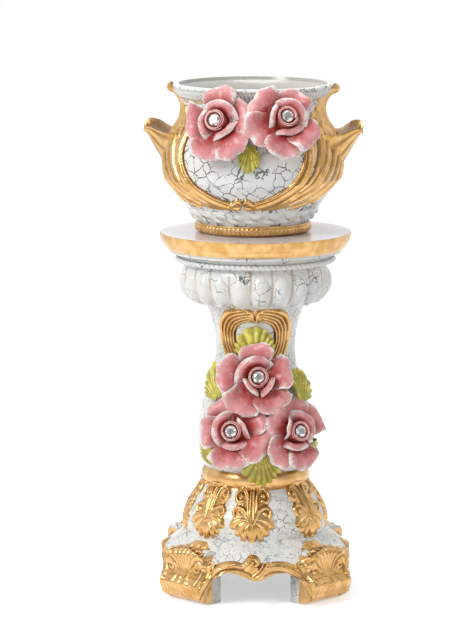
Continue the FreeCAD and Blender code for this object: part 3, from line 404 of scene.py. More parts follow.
def stoneFinish(name):
    finish, tree, shader, where = newFinish(name)
    # each facet is tinted black, grey or white: painted reflections of the cut stone
    facetReflection = painted(tree, "facetReflection")
    colour = mixColour(tree, facetReflection, (0.05, 0.05, 0.055), (0.93, 0.93, 0.92))
    # random specks lightened towards white: painted glints
    paintedGlint = grain(tree, where, 2.5, 2.0)
    colour = mixColour(tree, ramp(tree, paintedGlint, 0.55, 0.62, 0.0, 0.5), colour, (0.85, 0.85, 0.84))
    lay(tree, shader, Base_Color=colour, Metallic=0.75, Roughness=0.08)
    shader.inputs["Coat Weight"].default_value = 1.0
    shader.inputs["Coat Roughness"].default_value = 0.02
    return finish


# the last colour of each is the darkest, at the heart: partly deeper paint, partly painted shade
finishes["petal"] = petalFinish("petalGlaze", (0.80, 0.75, 0.71), (0.70, 0.205, 0.22), (0.42, 0.055, 0.05))
finishes["bud"] = petalFinish("budGlaze", (0.76, 0.50, 0.46), (0.66, 0.20, 0.18), (0.46, 0.085, 0.065))
finishes["leaf"] = leafFinish("leafGlaze")
finishes["stone"] = stoneFinish("cutStone")

for name, look in (("base_casting", "base"), ("column_casting", "column"), ("capital_casting", "capital"),
                   ("pot_bowl", "pot")):
    for slot in nodes[name].material_slots:
        slot.material = finishes[look]
for name, node in nodes.items():
    if name not in ("base_casting", "column_casting", "capital_casting", "pot_bowl"):
        for slot in node.material_slots:
            slot.material = finishes["gold"]
print("finishes mixed")


# shaping tools
def clayTree(name):
    mesh = nodes[name].data
    return BVHTree.FromPolygons([v.co for v in mesh.vertices], [p.vertices for p in mesh.polygons])


clay = {name: clayTree(name) for name in ("base_casting", "column_casting", "capital_casting", "pot_bowl")}


def turnedProfile(name, axisX, low, high, step=1.0):
    # how far the turned body stands from its own axis, felt from the back where nothing is laid on it
    levels, radii = [], []
    for level in np.arange(low, high, step):
        hit = clay[name].ray_cast(Vector((axisX * mm, 0.4, level * mm)), Vector((0, -1, 0)))[0]
        if hit is not None:
            levels.append(level)
            radii.append(hit.y / mm)
    return np.array(levels), np.array(radii)


bell = turnedProfile("base_casting", 0.0, 76.0, 151.0)
shaft = turnedProfile("column_casting", 0.0, 153.0, 349.0)
potWall = turnedProfile("pot_bowl", potAxis, 441.0, 614.5)


def flatSheet(name, across, along):
    # a flat sheet of clay to be pressed into shape; its points as rows (along) and columns (across)
    bpy.ops.object.select_all(action="DESELECT")
    bpy.ops.mesh.primitive_grid_add(x_subdivisions=across, y_subdivisions=along, size=2)
    sheet = bpy.context.object
    sheet.name = name
    sheet.data.name = name
    flat = np.empty(len(sheet.data.vertices) * 3)
    sheet.data.vertices.foreach_get("co", flat)
    flat = np.round(flat.reshape(-1, 3), 6)
    order = np.lexsort((flat[:, 0], flat[:, 1]))
    columns = len(np.unique(flat[:, 0]))
    grid = order.reshape(-1, columns)
    return sheet, grid, flat[grid, 0], flat[grid, 1]


def press(sheet, grid, points):
    flat = np.empty(grid.size * 3).reshape(-1, 3)
    flat[grid.ravel()] = (points * mm).reshape(-1, 3)
    sheet.data.vertices.foreach_set("co", flat.ravel())
    sheet.data.update()


def mark(sheet, grid, label, values):
    flat = np.empty(grid.size, np.float32)
    flat[grid.ravel()] = values.ravel()
    attribute = sheet.data.attributes.new(label, "FLOAT", "POINT")
    attribute.data.foreach_set("value", flat)


def trim(sheet, grid, keep, lost):
    # cuts away the faces that lie wholly outside keep, or touch a lost point
    flat, gone = np.empty(grid.size, bool), np.empty(grid.size, bool)
    flat[grid.ravel()], gone[grid.ravel()] = keep.ravel(), lost.ravel()
    bpy.ops.object.mode_set(mode="EDIT")
    bpy.ops.mesh.select_all(action="DESELECT")
    bpy.ops.mesh.select_mode(type="FACE")
    bpy.ops.object.mode_set(mode="OBJECT")
    corners = [list(face.vertices) for face in sheet.data.polygons]
    sheet.data.polygons.foreach_set("select", [gone[c].any() or not flat[c].any() for c in corners])
    bpy.ops.object.mode_set(mode="EDIT")
    bpy.ops.mesh.delete(type="FACE")
    bpy.ops.object.mode_set(mode="OBJECT")


def closeSeam(turned=True):
    bpy.ops.object.mode_set(mode="EDIT")
    bpy.ops.mesh.select_all(action="SELECT")
    bpy.ops.mesh.remove_doubles(threshold=0.00001)
    if turned:
        bpy.ops.mesh.normals_make_consistent(inside=False)
    bpy.ops.object.mode_set(mode="OBJECT")


def finishPiece(piece, body, look, replaced=(), smooth=True):
    piece.data.materials.clear()
    piece.data.materials.append(finishes[look])
    bpy.ops.object.select_all(action="DESELECT")
    piece.select_set(True)
    bpy.context.view_layer.objects.active = piece
    if smooth:
        bpy.ops.object.shade_smooth()
    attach(piece, body)
    if replaced:
        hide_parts(*replaced)
    return piece


def applied(piece, kind, **settings):
    bpy.context.view_layer.objects.active = piece
    modifier = piece.modifiers.new(kind, kind)
    for key, value in settings.items():
        setattr(modifier, key, value)
    bpy.ops.object.modifier_apply(modifier=modifier.name)


def joined(name, parts):
    bpy.ops.object.select_all(action="DESELECT")
    for part in parts:
        part.select_set(True)
    bpy.context.view_layer.objects.active = parts[0]
    if len(parts) > 1:
        bpy.ops.object.join()
    parts[0].name = name
    parts[0].data.name = name
    return parts[0]


def step01(value, low, high):
    t = np.clip((value - low) / (high - low), 0, 1)
    return t * t * (3 - 2 * t)


def curve(points, steps=7):
    # a smooth line through points, whose further columns (half width, height) go along
    points = np.array(points, float)
    ends = np.vstack([2 * points[0] - points[1], points, 2 * points[-1] - points[-2]])
    line = []
    for p0, p1, p2, p3 in zip(ends[:-3], ends[1:-2], ends[2:-1], ends[3:]):
        for t in np.linspace(0, 1, steps, endpoint=False):
            line.append(0.5 * (2 * p1 + (p2 - p0) * t + (2 * p0 - 5 * p1 + 4 * p2 - p3) * t * t
                               + (3 * p1 - p0 - 3 * p2 + p3) * t ** 3))
    return np.array(line + [points[-1]])


def ridge(line, flutes=0, cut=0.35):
    # points (a, z, half width, height) along its middle, and how often and how deep it is fluted
    return {"line": line, "flutes": flutes, "cut": cut}


def rib(a, z, stroke):
    # height of one modelled ridge over the sheet, negative beside it
    line = curve(stroke["line"])
    nearest = np.full(a.shape, 1e9)
    wide, top, side = np.ones(a.shape), np.zeros(a.shape), np.zeros(a.shape)
    for p, q in zip(line[:-1], line[1:]):
        run = q[:2] - p[:2]
        t = np.clip(((a - p[0]) * run[0] + (z - p[1]) * run[1]) / max(run @ run, 1e-9), 0, 1)
        da, dz = a - p[0] - t * run[0], z - p[1] - t * run[1]
        width = np.maximum(p[2] + t * (q[2] - p[2]), 0.25)
        share = np.hypot(da, dz) / width
        better = share < nearest
        nearest = np.where(better, share, nearest)
        wide = np.where(better, width, wide)
        top = np.where(better, p[3] + t * (q[3] - p[3]), top)
    height = top * (1 - np.minimum(nearest, 1.0) ** 2.4)
    if stroke["flutes"]:
        valley = 0.5 - 0.5 * np.cos(2 * np.pi * stroke["flutes"] * nearest)
        height = height * (1 - stroke["cut"] * valley * (nearest < 1))
    return np.where(nearest < 1, height, -(nearest - 1) * wide * 0.9)


def mirroredStrokes(strokes):
    return strokes + [{**s, "line": [(-p[0], *p[1:]) for p in s["line"]]} for s in strokes]


def softened(height, rounds=1):
    for _ in range(rounds):
        wide = np.pad(height, 1, mode="edge")
        height = (wide[1:-1, 1:-1] * 4 + wide[:-2, 1:-1] + wide[2:, 1:-1] + wide[1:-1, :-2]
                  + wide[1:-1, 2:]) / 8
    return height


def relief(name, extent, strokes, place, step=0.75, sink=1.3, rounds=1, base=None):
    # presses strokes into a sheet and lays it on a surface; place(a, z, height) gives the points
    a0, a1, z0, z1 = extent
    sheet, grid, u, v = flatSheet(name, int((a1 - a0) / step), int((z1 - z0) / step))
    a, z = a0 + (u + 1) / 2 * (a1 - a0), z0 + (v + 1) / 2 * (z1 - z0)
    height = np.full(a.shape, -9.0)
    for stroke in strokes:
        height = np.maximum(height, rib(a, z, stroke))
    if base is not None:
        # the swell of the ground lifts what lies on it
        ground = base(a, z)
        height = np.where(ground > 0, np.maximum(height, 0.0) * 0.8 + ground, height)
    height = softened(height, rounds)
    broad = softened(np.maximum(height, -0.5), 10)
    hollow = np.clip((broad - height) / 0.8, 0, 1) * (height > -0.4)
    height = np.maximum(height, -sink)
    points = place(a, z, height)
    lost = np.isnan(points[..., 0])
    press(sheet, grid, np.where(lost[..., None], 0.0, points))
    mark(sheet, grid, "hollow", hollow)
    trim(sheet, grid, height > -sink + 0.01, lost)
    return sheet


def onTurned(profile, axisX, facing, reference):
    levels, radii = profile
    slopes = np.gradient(radii, levels)

    def place(a, z, height):
        radius, slope = np.interp(z, levels, radii), np.interp(z, levels, slopes)
        norm = np.sqrt(1 + slope ** 2)
        turn = math.radians(facing) + a / reference
        out, level = radius + height / norm, z - height * slope / norm
        return np.stack([axisX + out * np.sin(turn), -out * np.cos(turn), level], -1)
    return place


def onClay(name, facing, tilt, middle, deepest, far=200.0):
    # projects straight onto a casting, looking inwards from `facing` and down by `tilt`; what would
    # lie further in than `deepest`, or meets nothing, is left out
    f, t = math.radians(facing), math.radians(tilt)
    outward = np.array([math.sin(f), -math.cos(f), 0.0])
    right = np.array([math.cos(f), math.sin(f), 0.0])
    look = -outward * math.cos(t) - np.array([0, 0, math.sin(t)])
    up = -outward * math.sin(t) + np.array([0, 0, math.cos(t)])

    def place(a, z, height):
        spots = middle + a[..., None] * right + z[..., None] * up
        depth = np.full(a.shape, np.nan)
        for index in np.ndindex(a.shape):
            origin = (spots[index] - look * far) * mm
            hit = clay[name].ray_cast(Vector(origin), Vector(look))
            if hit[0] is not None:
                depth[index] = hit[3] / mm - far
        depth[depth > deepest] = np.nan
        return spots + (depth - height)[..., None] * look
    return place


# rope bead under the cove
ropeLook = {"strands": 88, "radius": 93.4, "level": 404.0, "thick": 3.0}
sheet, grid, u, v = flatSheet("rope_bead", 1152, 14)
turn, around = np.pi * u, np.pi * v
bulge = ropeLook["thick"] * (0.72 + 0.38 * np.abs(np.cos(ropeLook["strands"] / 2 * turn + around / 2)) ** 0.8)
reach = ropeLook["radius"] + bulge * np.cos(around)
points = np.stack([reach * np.sin(turn), -reach * np.cos(turn),
                   ropeLook["level"] + bulge * np.sin(around)], -1)
points[:, -1], points[-1] = points[:, 0], points[0]
press(sheet, grid, points)
mark(sheet, grid, "hollow", np.clip(1.25 - bulge / ropeLook["thick"] * 1.3, 0, 1))
closeSeam()
finishPiece(sheet, "stand", "antique")
print("rope laid")

# bell sprigs
sprigLook = {"places": (-44, -3, 52, 96, 140, 184, 228, 272), "reference": 80.0, "top": 137.0, "spread": 1.12,
             "stout": 1.08}
sprigStrokes = mirroredStrokes([
    # upper volute, lower volute, their eyes, then three leaf fronds
    ridge([(2.4, -40, 1.9, 2.4), (4.6, -26, 2.2, 3.0), (5.6, -11, 2.4, 3.2), (10.5, -3.4, 2.7, 3.3),
           (17, -5, 2.7, 3.3), (20, -12, 2.5, 3.1), (17, -18, 2.2, 2.9), (12.2, -17, 2.0, 2.8)]),
    ridge([(13.6, -11.6, 2.9, 3.5), (13.8, -11.2, 2.9, 3.5)]),
    ridge([(3.4, -37, 1.9, 2.4), (8.5, -27.5, 2.3, 2.9), (15.5, -24.5, 2.4, 3.1), (20, -28.5, 2.3, 3.0),
           (18.4, -34.5, 2.0, 2.7)]),
    ridge([(14.0, -31, 2.6, 3.2), (14.3, -30.8, 2.6, 3.2)]),
    ridge([(3, -36, 3.0, 1.6), (11, -37.5, 4.4, 2.7), (17.5, -40.5, 4.4, 3.0),
           (19.5, -45.5, 3.6, 3.0)], 1, 0.25),
    ridge([(3, -39, 3.0, 1.6), (9.5, -43.5, 4.6, 2.7), (13.0, -49, 4.2, 3.0),
           (14.2, -54, 3.4, 2.9)], 1, 0.25),
    ridge([(2, -42, 2.8, 1.6), (6.0, -50, 4.2, 2.7), (8.0, -56, 3.8, 2.8), (8.4, -60, 3.0, 2.6)], 1, 0.25),
    ridge([(1.8, -3, 1.3, 3.1), (2.0, -20, 1.4, 3.3), (1.8, -42, 1.5, 2.8)]),
    ridge([(7, -3, 6.5, 1.0), (12, -10, 8.5, 1.2), (12, -20, 7.0, 1.2), (12, -32, 8.0, 1.2),
           (9, -42, 8.0, 1.2)]),
]) + [
    ridge([(0, -1, 6.0, 1.4), (0, -20, 5.0, 1.6), (0, -40, 6.0, 1.8), (0, -50, 6.4, 2.4), (0, -59, 5.0, 2.6),
           (0, -66.5, 2.6, 2.2)]),
    ridge([(0, -43, 1.2, 3.0), (0, -54, 1.8, 3.5), (0, -64, 0.8, 2.0)]),
    ridge([(-4.3, -46, 1.1, 2.8), (-3.6, -55, 1.4, 2.8), (-0.9, -63, 0.8, 2.0)]),
    ridge([(4.3, -46, 1.1, 2.8), (3.6, -55, 1.4, 2.8), (0.9, -63, 0.8, 2.0)]),
]
for number, facing in enumerate(sprigLook["places"]):
    strokes = [{**s, "line": [(a * sprigLook["spread"], z + sprigLook["top"], w * sprigLook["stout"], h)
                              for a, z, w, h in s["line"]]} for s in sprigStrokes]
    sprig = relief(f"bell_sprig_{number + 1}_gilt", (-29, 29, 67, 138.5), strokes,
                   onTurned(bell, 0.0, facing, sprigLook["reference"]))
    finishPiece(sprig, "stand", "gold", [f"bell_sprig_{number + 1}"])
print("sprigs laid")

# column cartouches
windowLook = {
    "level": 310.0, "half": 27.0, "rise": 25.5, "reference": 54.0, "extent": (-58, 58, 252, 357),
    # distance from the window, half width, height
    "rings": ((1.4, 1.9, 2.8), (5.4, 2.0, 3.1), (9.8, 2.2, 3.4), (14.6, 2.4, 3.5), (20.6, 3.7, 3.8)),
}


def cartoucheStrokes():
    strokes = []
    for ring, (out, thick, high) in enumerate(windowLook["rings"]):
        line = []
        for angle in (-80, -62, -42, -20, 4, 26, 46, 60, 70):
            c, s = math.cos(math.radians(angle)), math.sin(math.radians(angle))
            square = (abs(c) ** 2.4 + abs(s) ** 2.4) ** (-1 / 2.4)
            taper = 1.0 - 0.24 * max(0.0, -s) + 0.05 * max(0.0, s)
            x = (windowLook["half"] + out) * c * square * taper
            z = windowLook["level"] + (windowLook["rise"] + out * 0.76) * s * square
            line.append((x, z, thick, high))
        x, z = line[-1][0], line[-1][1]
        if ring == 0:
            line += [(4.5, z + 0.8, 1.6, 2.4), (1.0, z - 1.0, 1.4, 2.0)]
        elif ring < 4:
            # the upper ends dip towards the middle and curl
            line += [(8.0, z + 1.0, thick, high), (4.2, z - 0.6, thick * 0.9, high),
                     (2.6, z - 4.4, thick * 0.7, high * 0.8)]
        else:
            line += [(10, z + 1.0, 3.0, high), (5.4, z - 2.4, 2.6, high), (2.8, z - 7.5, 1.9, high * 0.9),
                     (2.0, z - 14, 1.4, 2.4)]
        strokes.append(ridge(line))
    strokes.append(ridge([(23, 262, 7, 1.4), (30, 282, 10, 1.4), (35, 303, 10, 1.4), (34, 326, 10.5, 1.4),
                          (20, 341, 9, 1.4), (6, 342, 8, 1.4)]))
    return mirroredStrokes(strokes)


for name, facing in (("front", -1.0), ("back", 179.0)):
    piece = relief(f"column_frame_{name}_gilt", windowLook["extent"], cartoucheStrokes(),
                   onTurned(shaft, 0.0, facing, windowLook["reference"]))
    finishPiece(piece, "stand", "gold", [f"column_frame_{name}"])
print("cartouches laid")

# arch mouldings
apronLook = {"extent": (-78, 78, 0.8, 68), "deepest": -97.0, "step": 0.85}


def apronStrokes():
    # two round ridges climb each side of the arch; the left pair runs up into the middle volute
    return [
        ridge([(-72, 2, 4.6, 3.0), (-70.5, 9, 4.8, 3.6), (-64, 23, 4.8, 3.9), (-54, 38, 4.6, 4.0),
               (-42, 47.5, 4.4, 4.0), (-27, 50.5, 4.2, 3.8), (-16, 49, 3.8, 3.8), (-11.5, 52.5, 3.4, 4.2),
               (-6.5, 57.5, 3.3, 4.6), (0, 57.5, 3.2, 4.8), (3, 53, 2.8, 4.6), (-0.5, 49.8, 2.3, 4.4),
               (-4.5, 51.6, 2.0, 4.4)]),
        ridge([(-65, 2, 2.8, 2.4), (-63.5, 9, 3.0, 2.8), (-57, 21, 3.0, 3.0), (-48, 34, 2.9, 3.0),
               (-37, 42, 2.8, 3.0), (-24, 44, 2.7, 2.8), (-12, 40.5, 2.6, 2.8), (-2, 34.5, 2.4, 2.4)]),
        ridge([(-3.0, 54.0, 1.6, 5.0), (-2.6, 54.2, 1.6, 5.0)]),
        ridge([(-10, 47, 6, 2.2), (-3, 53, 7, 2.6), (-3, 40, 8, 1.6)]),
        ridge([(72, 2, 4.6, 3.0), (70.5, 9, 5.0, 3.4), (64, 23, 5.2, 3.7), (54, 37, 5.4, 3.8),
               (42, 45.5, 5.8, 3.7), (27, 49, 5.8, 3.5), (12, 46.5, 5.0, 3.2),
               (2, 37.5, 3.0, 2.4)], 1.5, 0.45),
        ridge([(65, 2, 2.8, 2.4), (63.5, 9, 3.0, 2.8), (57, 21, 3.0, 2.8), (48, 33, 2.8, 2.8),
               (36, 40, 2.6, 2.6), (22, 41, 2.2, 2.4), (10, 36, 1.8, 2.0)]),
        ridge([(9, 52, 1.6, 4.0), (5, 45, 1.7, 4.0), (-2, 38, 1.5, 3.4), (-8, 36, 1.2, 2.6)]),
        ridge([(14, 53, 1.5, 4.0), (10, 45.5, 1.6, 4.0), (4, 38, 1.5, 3.4), (-3, 33.5, 1.1, 2.4)]),
        ridge([(-68, 3, 8, 1.2), (-60, 24, 8, 1.2), (-48, 40, 8, 1.2), (-30, 47, 8, 1.2), (-8, 42, 8, 1.2),
               (0, 38, 7, 1.2), (14, 43, 8, 1.2), (30, 46, 8, 1.2), (48, 39, 8, 1.2), (60, 24, 8, 1.2),
               (68, 3, 8, 1.2)]),
    ]


for name, facing in (("front", 0), ("right", 90), ("back", 180), ("left", 270)):
    piece = relief(f"apron_scroll_{name}_gilt", apronLook["extent"], apronStrokes(),
                   onClay("base_casting", facing, 0.0, np.zeros(3), apronLook["deepest"]), apronLook["step"])
    finishPiece(piece, "stand", "gold", [f"apron_scroll_{name}"])
print("mouldings laid")

# acanthus over the feet
footLook = {"tilt": 20.0, "shift": 41.0, "extent": (-40, 40, 2, 76), "deepest": -72.0, "step": 0.85,
            "toe": (4.6, 19.0, 8.5), "knee": (2.6, 58.0, 7.0)}  # swell, its level, its spread


def footStrokes():
    fan = []
    for a, z, w in ((0, 71, 4.8), (9.5, 70, 4.6), (18.5, 66.5, 4.4), (27, 60, 4.2), (33, 51, 3.8)):
        fan.append(ridge([(a * 0.10, 30, 2.6, 1.8), (a * 0.46, 30 + (z - 30) * 0.5, w, 3.4),
                          (a * 0.88, z - 6, w, 3.4), (a, z, w * 0.5, 2.2)], 1, 0.3))
    # a volute on each side of the ankle, ridges down the toe, and its roll
    fan.append(ridge([(30, 42, 2.6, 3.4), (24.5, 47, 2.7, 3.6), (18, 42.5, 2.5, 3.8), (19.5, 36.5, 2.2, 3.8),
                      (24.5, 37.8, 2.1, 3.6)]))
    fan.append(ridge([(30, 1, 4.6, 2.4), (30, 10, 5.2, 3.0), (28.5, 24, 4.6, 3.2), (31.5, 38, 3.6, 2.6),
                      (35, 46, 2.6, 1.8)]))
    fan.append(ridge([(12, 2, 4.6, 2.0), (13, 10, 5.4, 3.0), (11.5, 22, 5.0, 3.0), (7.5, 34, 3.2, 2.0)]))
    plate = [ridge([(0, 0, 30, 1.2), (0, 30, 31, 1.3), (0, 44, 30, 1.3), (0, 56, 22, 1.2)]),
             ridge([(0, 3, 3.0, 2.2), (0, 12, 3.4, 3.0), (0, 26, 2.6, 2.4), (0, 34, 1.6, 1.6)])]
    return mirroredStrokes(fan) + plate


def footSwell(a, z):
    # a rolled toe and a full knee, with the ankle drawn in between
    swell = 1.2
    for full, level, spread in (footLook["toe"], footLook["knee"]):
        swell = swell + full * np.exp(-((z - level) / spread) ** 2)
    inside = 1 - step01(np.abs(a), 27, 36)
    return np.where(z < 64 - np.abs(a) * 0.28, swell * (0.35 + 0.65 * inside), -9.0)


for name, facing in (("front_left", -45), ("front_right", 45), ("back_right", 135), ("back_left", 225)):
    f, t = math.radians(facing), math.radians(footLook["tilt"])
    upward = np.array([-math.sin(f) * math.sin(t), math.cos(f) * math.sin(t), math.cos(t)])
    laid = onClay("base_casting", facing, footLook["tilt"], -footLook["shift"] * upward, footLook["deepest"])
    piece = relief(f"foot_shell_{name}_gilt", footLook["extent"], footStrokes(), laid, footLook["step"],
                   base=footSwell)
    finishPiece(piece, "stand", "gold", [f"foot_shell_{name}"])
print("feet dressed")

# frames and wings on the pot
ovalLook = {"level": 545.0, "half": 80.0, "rise": 65.0, "reference": 105.0, "facing": -8.5, "sag": 10.5}


def ovalStrokes():
    strokes = []
    for offset, thick, high in ((1.2, 1.8, 3.6), (7.6, 4.9, 4.0)):
        line = []
        for angle in np.linspace(-86.0, 16.0, 13):
            c, s = math.cos(math.radians(angle)), math.sin(math.radians(angle))
            grow = offset * (1.0 if offset < 5 else 0.72 + 0.5 * c)
            width = thick if offset < 5 else thick * (0.72 + 0.75 * c)
            x, z = (ovalLook["half"] + grow) * c, ovalLook["level"] + (ovalLook["rise"] + grow) * s
            line.append((x, z, width, high))
        strokes.append(ridge(line))
    # the two ends of the band curl up in the middle
    strokes.append(ridge([(22, 487, 4.0, 3.4), (13, 489.5, 3.6, 4.0), (6.5, 493.5, 3.0, 4.2),
                          (2.2, 491, 2.2, 3.8), (3.5, 486.5, 1.8, 3.0)]))
    # long flutes sweep from each lug down into the band
    strokes += [
        ridge([(116, 580, 3.4, 2.6), (104, 566, 4.4, 3.2), (97, 548, 4.0, 3.2), (92, 530, 2.6, 2.4)]),
        ridge([(132, 582, 3.8, 2.8), (116, 564, 4.8, 3.4), (106, 542, 4.8, 3.4), (95, 520, 4.0, 3.0),
               (78, 503, 2.6, 2.2)]),
        ridge([(144, 574, 4.0, 3.0), (128, 554, 5.0, 3.6), (114, 530, 4.8, 3.4), (96, 509, 4.0, 3.0),
               (70, 493, 2.8, 2.2)]),
        ridge([(152, 564, 4.0, 3.0), (139, 541, 5.0, 3.6), (122, 518, 4.6, 3.4), (98, 498.5, 3.8, 3.0),
               (68, 487, 2.6, 2.0)]),
        ridge([(160, 556, 4.0, 3.0), (149, 532, 4.6, 3.4), (131, 509, 4.2, 3.0), (104, 491, 3.4, 2.6),
               (74, 482.5, 2.0, 1.8)]),
        ridge([(165, 545, 3.6, 2.6), (156, 522, 4.0, 3.0), (140, 503, 3.6, 2.6), (116, 488, 2.4, 2.0)]),
        ridge([(128, 576, 13, 1.3), (122, 552, 14, 1.3), (112, 526, 15, 1.3), (92, 503, 11, 1.3),
               (60, 489, 6, 1.3), (30, 485, 4, 1.3)]),
    ]
    for stroke in strokes[2:]:
        # the flutes and the middle curl hang as low as the oval
        stroke["line"] = [(a, z - ovalLook["sag"] * min(1.0, max(0.0, (560 - z) / 70)), w, h)
                          for a, z, w, h in stroke["line"]]
    return mirroredStrokes(strokes)


for name, facing in (("front", ovalLook["facing"]), ("back", 180 + ovalLook["facing"])):
    piece = relief(f"pot_frame_{name}_gilt", (-170, 170, 463, 590), ovalStrokes(),
                   onTurned(potWall, potAxis, facing, ovalLook["reference"]), 0.95)
    finishPiece(piece, "pot", "gold", [f"pot_frame_{name}"])


climbLook = {"extent": (-44, 44, 548, 614), "reference": 88.0, "step": 0.8}


def leafClimb():
    return mirroredStrokes([
        ridge([(6, 556, 5.4, 2.8), (10, 574, 5.8, 3.4), (12, 592, 5.0, 3.6), (6, 606, 3.8, 5.4),
               (2, 611, 2.6, 7.6)], 1),
        ridge([(16, 554, 5.0, 2.6), (22, 572, 5.4, 3.2), (27, 588, 4.8, 3.4), (26, 600, 3.6, 3.6),
               (20, 603, 2.4, 3.2)], 1),
        ridge([(27, 552, 4.6, 2.4), (33, 566, 4.6, 2.8), (37, 580, 3.6, 2.8), (35, 588, 2.4, 2.6)], 1),
        ridge([(8, 558, 12, 1.3), (14, 580, 13, 1.3), (10, 598, 10, 1.3)]),
    ]) + [ridge([(0, 556, 5, 2.6), (0, 580, 5, 3.2), (0, 602, 4.4, 5.0), (0, 611.5, 3.4, 9.0)], 1)]


for name, facing in (("left", -96.0), ("right", 84.0)):
    piece = relief(f"neck_leaf_{name}_gilt", climbLook["extent"], leafClimb(),
                   onTurned(potWall, potAxis, facing, climbLook["reference"]), climbLook["step"])
    finishPiece(piece, "pot", "gold", [f"neck_leaf_{name}"])

# curled lugs: spoons that taper out of the wall to a raised tip
lugLook = {
    "reach": [86.0, 96.0, 104.0, 111.0, 117.0, 122.5, 127.0, 130.0, 131.6],
    "halfWide": [48.0, 42.0, 34.0, 26.0, 20.5, 16.5, 13.0, 9.0, 3.6],
    "top": [559.0, 557.0, 558.5, 562.0, 565.0, 566.5, 566.5, 564.5, 560.0],
    "deep": [82.0, 65.0, 50.0, 41.0, 31.5, 22.0, 14.0, 8.0, 2.5],
    "dish": [2.0, 5.0, 8.0, 9.0, 7.5, 5.6, 3.8, 2.0, 0.5],
    "tip": 4.0, "flutes": 15,
}


def curledLug(name, facing):
    sheet, grid, u, v = flatSheet(name, 88, 44)
    s = (v + 1) / 2
    around = math.pi * u
    spots = np.linspace(0, 1, len(lugLook["reach"]))
    reach, half, top, deep, dish = (np.interp(s, spots, lugLook[key])
                                    for key in ("reach", "halfWide", "top", "deep", "dish"))
    across = np.cos(around)
    bowed = 1 - across ** 2
    under = np.sin(around) < 0
    level = np.where(under, top - deep * bowed ** 0.75, top - dish * bowed)
    flute = 1.3 * np.cos(lugLook["flutes"] * around) * np.sin(np.pi * np.clip(s * 1.1, 0, 1))
    flute = flute * np.where(under, 1.0, 0.45)
    out = reach - np.where(under, 0, 3.0 * bowed)
    out = out - np.where(under, 0.10 * (top - level), 0) * (1 - s) + flute * 0.6
    side = half * across
    level = level + flute * 0.5
    # the dish tips towards the front, and the root stays inside the wall
    turn = math.radians(facing)
    level = level + lugLook["tip"] * across * math.copysign(1, math.sin(turn)) * step01(s, 0.15, 0.5)
    levels, radii = potWall
    wall = np.interp(level, levels, radii) - 3.0
    gone = np.hypot(out, side)
    out = np.where(gone < wall, np.sqrt(np.maximum(wall ** 2 - side ** 2, 25.0)), out)
    points = np.stack([potAxis + out * math.sin(turn) + side * math.cos(turn),
                       -out * math.cos(turn) + side * math.sin(turn), level], -1)
    press(sheet, grid, points)
    # brown for the dish's middle and the valleys between the flutes underneath: partly patina, partly painted
    # shade
    brown = np.clip(np.where(under, 0.25 - 0.3 * flute, 0.35 + 0.5 * bowed), 0, 1)
    mark(sheet, grid, "hollow", brown * (s < 0.97))
    bpy.ops.object.mode_set(mode="EDIT")
    bpy.ops.mesh.select_mode(type="VERT")
    bpy.ops.mesh.select_all(action="SELECT")
    bpy.ops.mesh.remove_doubles(threshold=0.00002)
    bpy.ops.mesh.select_all(action="DESELECT")
    bpy.ops.mesh.select_non_manifold()
    bpy.ops.mesh.edge_face_add()
    bpy.ops.mesh.select_all(action="SELECT")
    bpy.ops.mesh.normals_make_consistent(inside=False)
    bpy.ops.object.mode_set(mode="OBJECT")
    return sheet


for name, facing in (("left", -96.0), ("right", 84.0)):
    finishPiece(curledLug(f"handle_{name}_lug", facing), "pot", "gold", [f"handle_{name}"])

# white reliefs on the pot: fluted border under the lip, leaves above the foot ring, ribs on it
borderLook = {"flutes": 116, "ribs": 74, "columns": 1160}
bandLook = {
    # band: low level, high level, radius for its turns, rows
    "border": (590.0, 611.0, 95.0, 16), "root": (451.5, 469.0, 80.0, 18), "foot": (438.5, 449.0, 68.5, 10),
}


def ringRelief(name, band, shape, look):
    # one closed band round the pot; shape(turn, share) is its height
    low, high, radius, rows = bandLook[band]
    sheet, grid, u, v = flatSheet(name, borderLook["columns"], rows)
    share = (v + 1) / 2
    height = shape(np.pi * u, share)
    z = low + (high - low) * share
    points = onTurned(potWall, potAxis, 0.0, radius)(np.pi * u * radius, z, height)
    points[:, -1] = points[:, 0]
    press(sheet, grid, points)
    calm = softened(np.pad(height, 3, mode="edge"), 6)[3:-3, 3:-3]
    mark(sheet, grid, "hollow", np.clip((calm - height) / 0.5, 0, 1) * (height > -0.2))
    closeSeam(turned=False)
    finishPiece(sheet, "pot", look)


def fadeEnds(share, soft=0.14):
    return step01(share, 0.0, soft) * (1 - step01(share, 1 - soft, 1.0))


def flutedBorder(turn, share):
    slant = borderLook["flutes"] / 2 * turn + 2.4 * share
    flutes = 0.3 + 2.0 * np.abs(np.cos(slant)) ** 0.7 * step01(share, 0.42, 0.56)
    swag = np.abs(np.sin(9.5 * turn))
    garland = 2.3 * np.exp(-((share - 0.12 - 0.25 * (1 - swag)) / 0.10) ** 2)
    return np.maximum(flutes, garland) * fadeEnds(share) - 1.3 * (1 - fadeEnds(share))


def rootLeaves(turn, share):
    height = np.full(turn.shape, 0.0)
    for lobes, phase, lift, tall in ((22, 0.0, 0.30, 3.0), (22, 1.57, 0.62, 2.7), (44, 0.6, 0.48, 1.5)):
        wave = np.cos(lobes / 2 * turn + phase + 1.6 * share) ** 2
        height = np.maximum(height, tall * wave ** 0.8 * np.exp(-((share - lift) / 0.22) ** 2))
    return (0.2 + height) * fadeEnds(share) - 1.3 * (1 - fadeEnds(share))


def footRibs(turn, share):
    ribs, fade = 0.5 + 1.2 * np.abs(np.cos(borderLook["ribs"] / 2 * turn)) ** 0.6, fadeEnds(share, 0.2)
    return ribs * fade - 1.0 * (1 - fade)


ringRelief("pot_fluted_border", "border", flutedBorder, "antique")
ringRelief("pot_root_leaves", "root", rootLeaves, "antique")
ringRelief("pot_foot_ribs", "foot", footRibs, "gold")
print("pot relief laid")


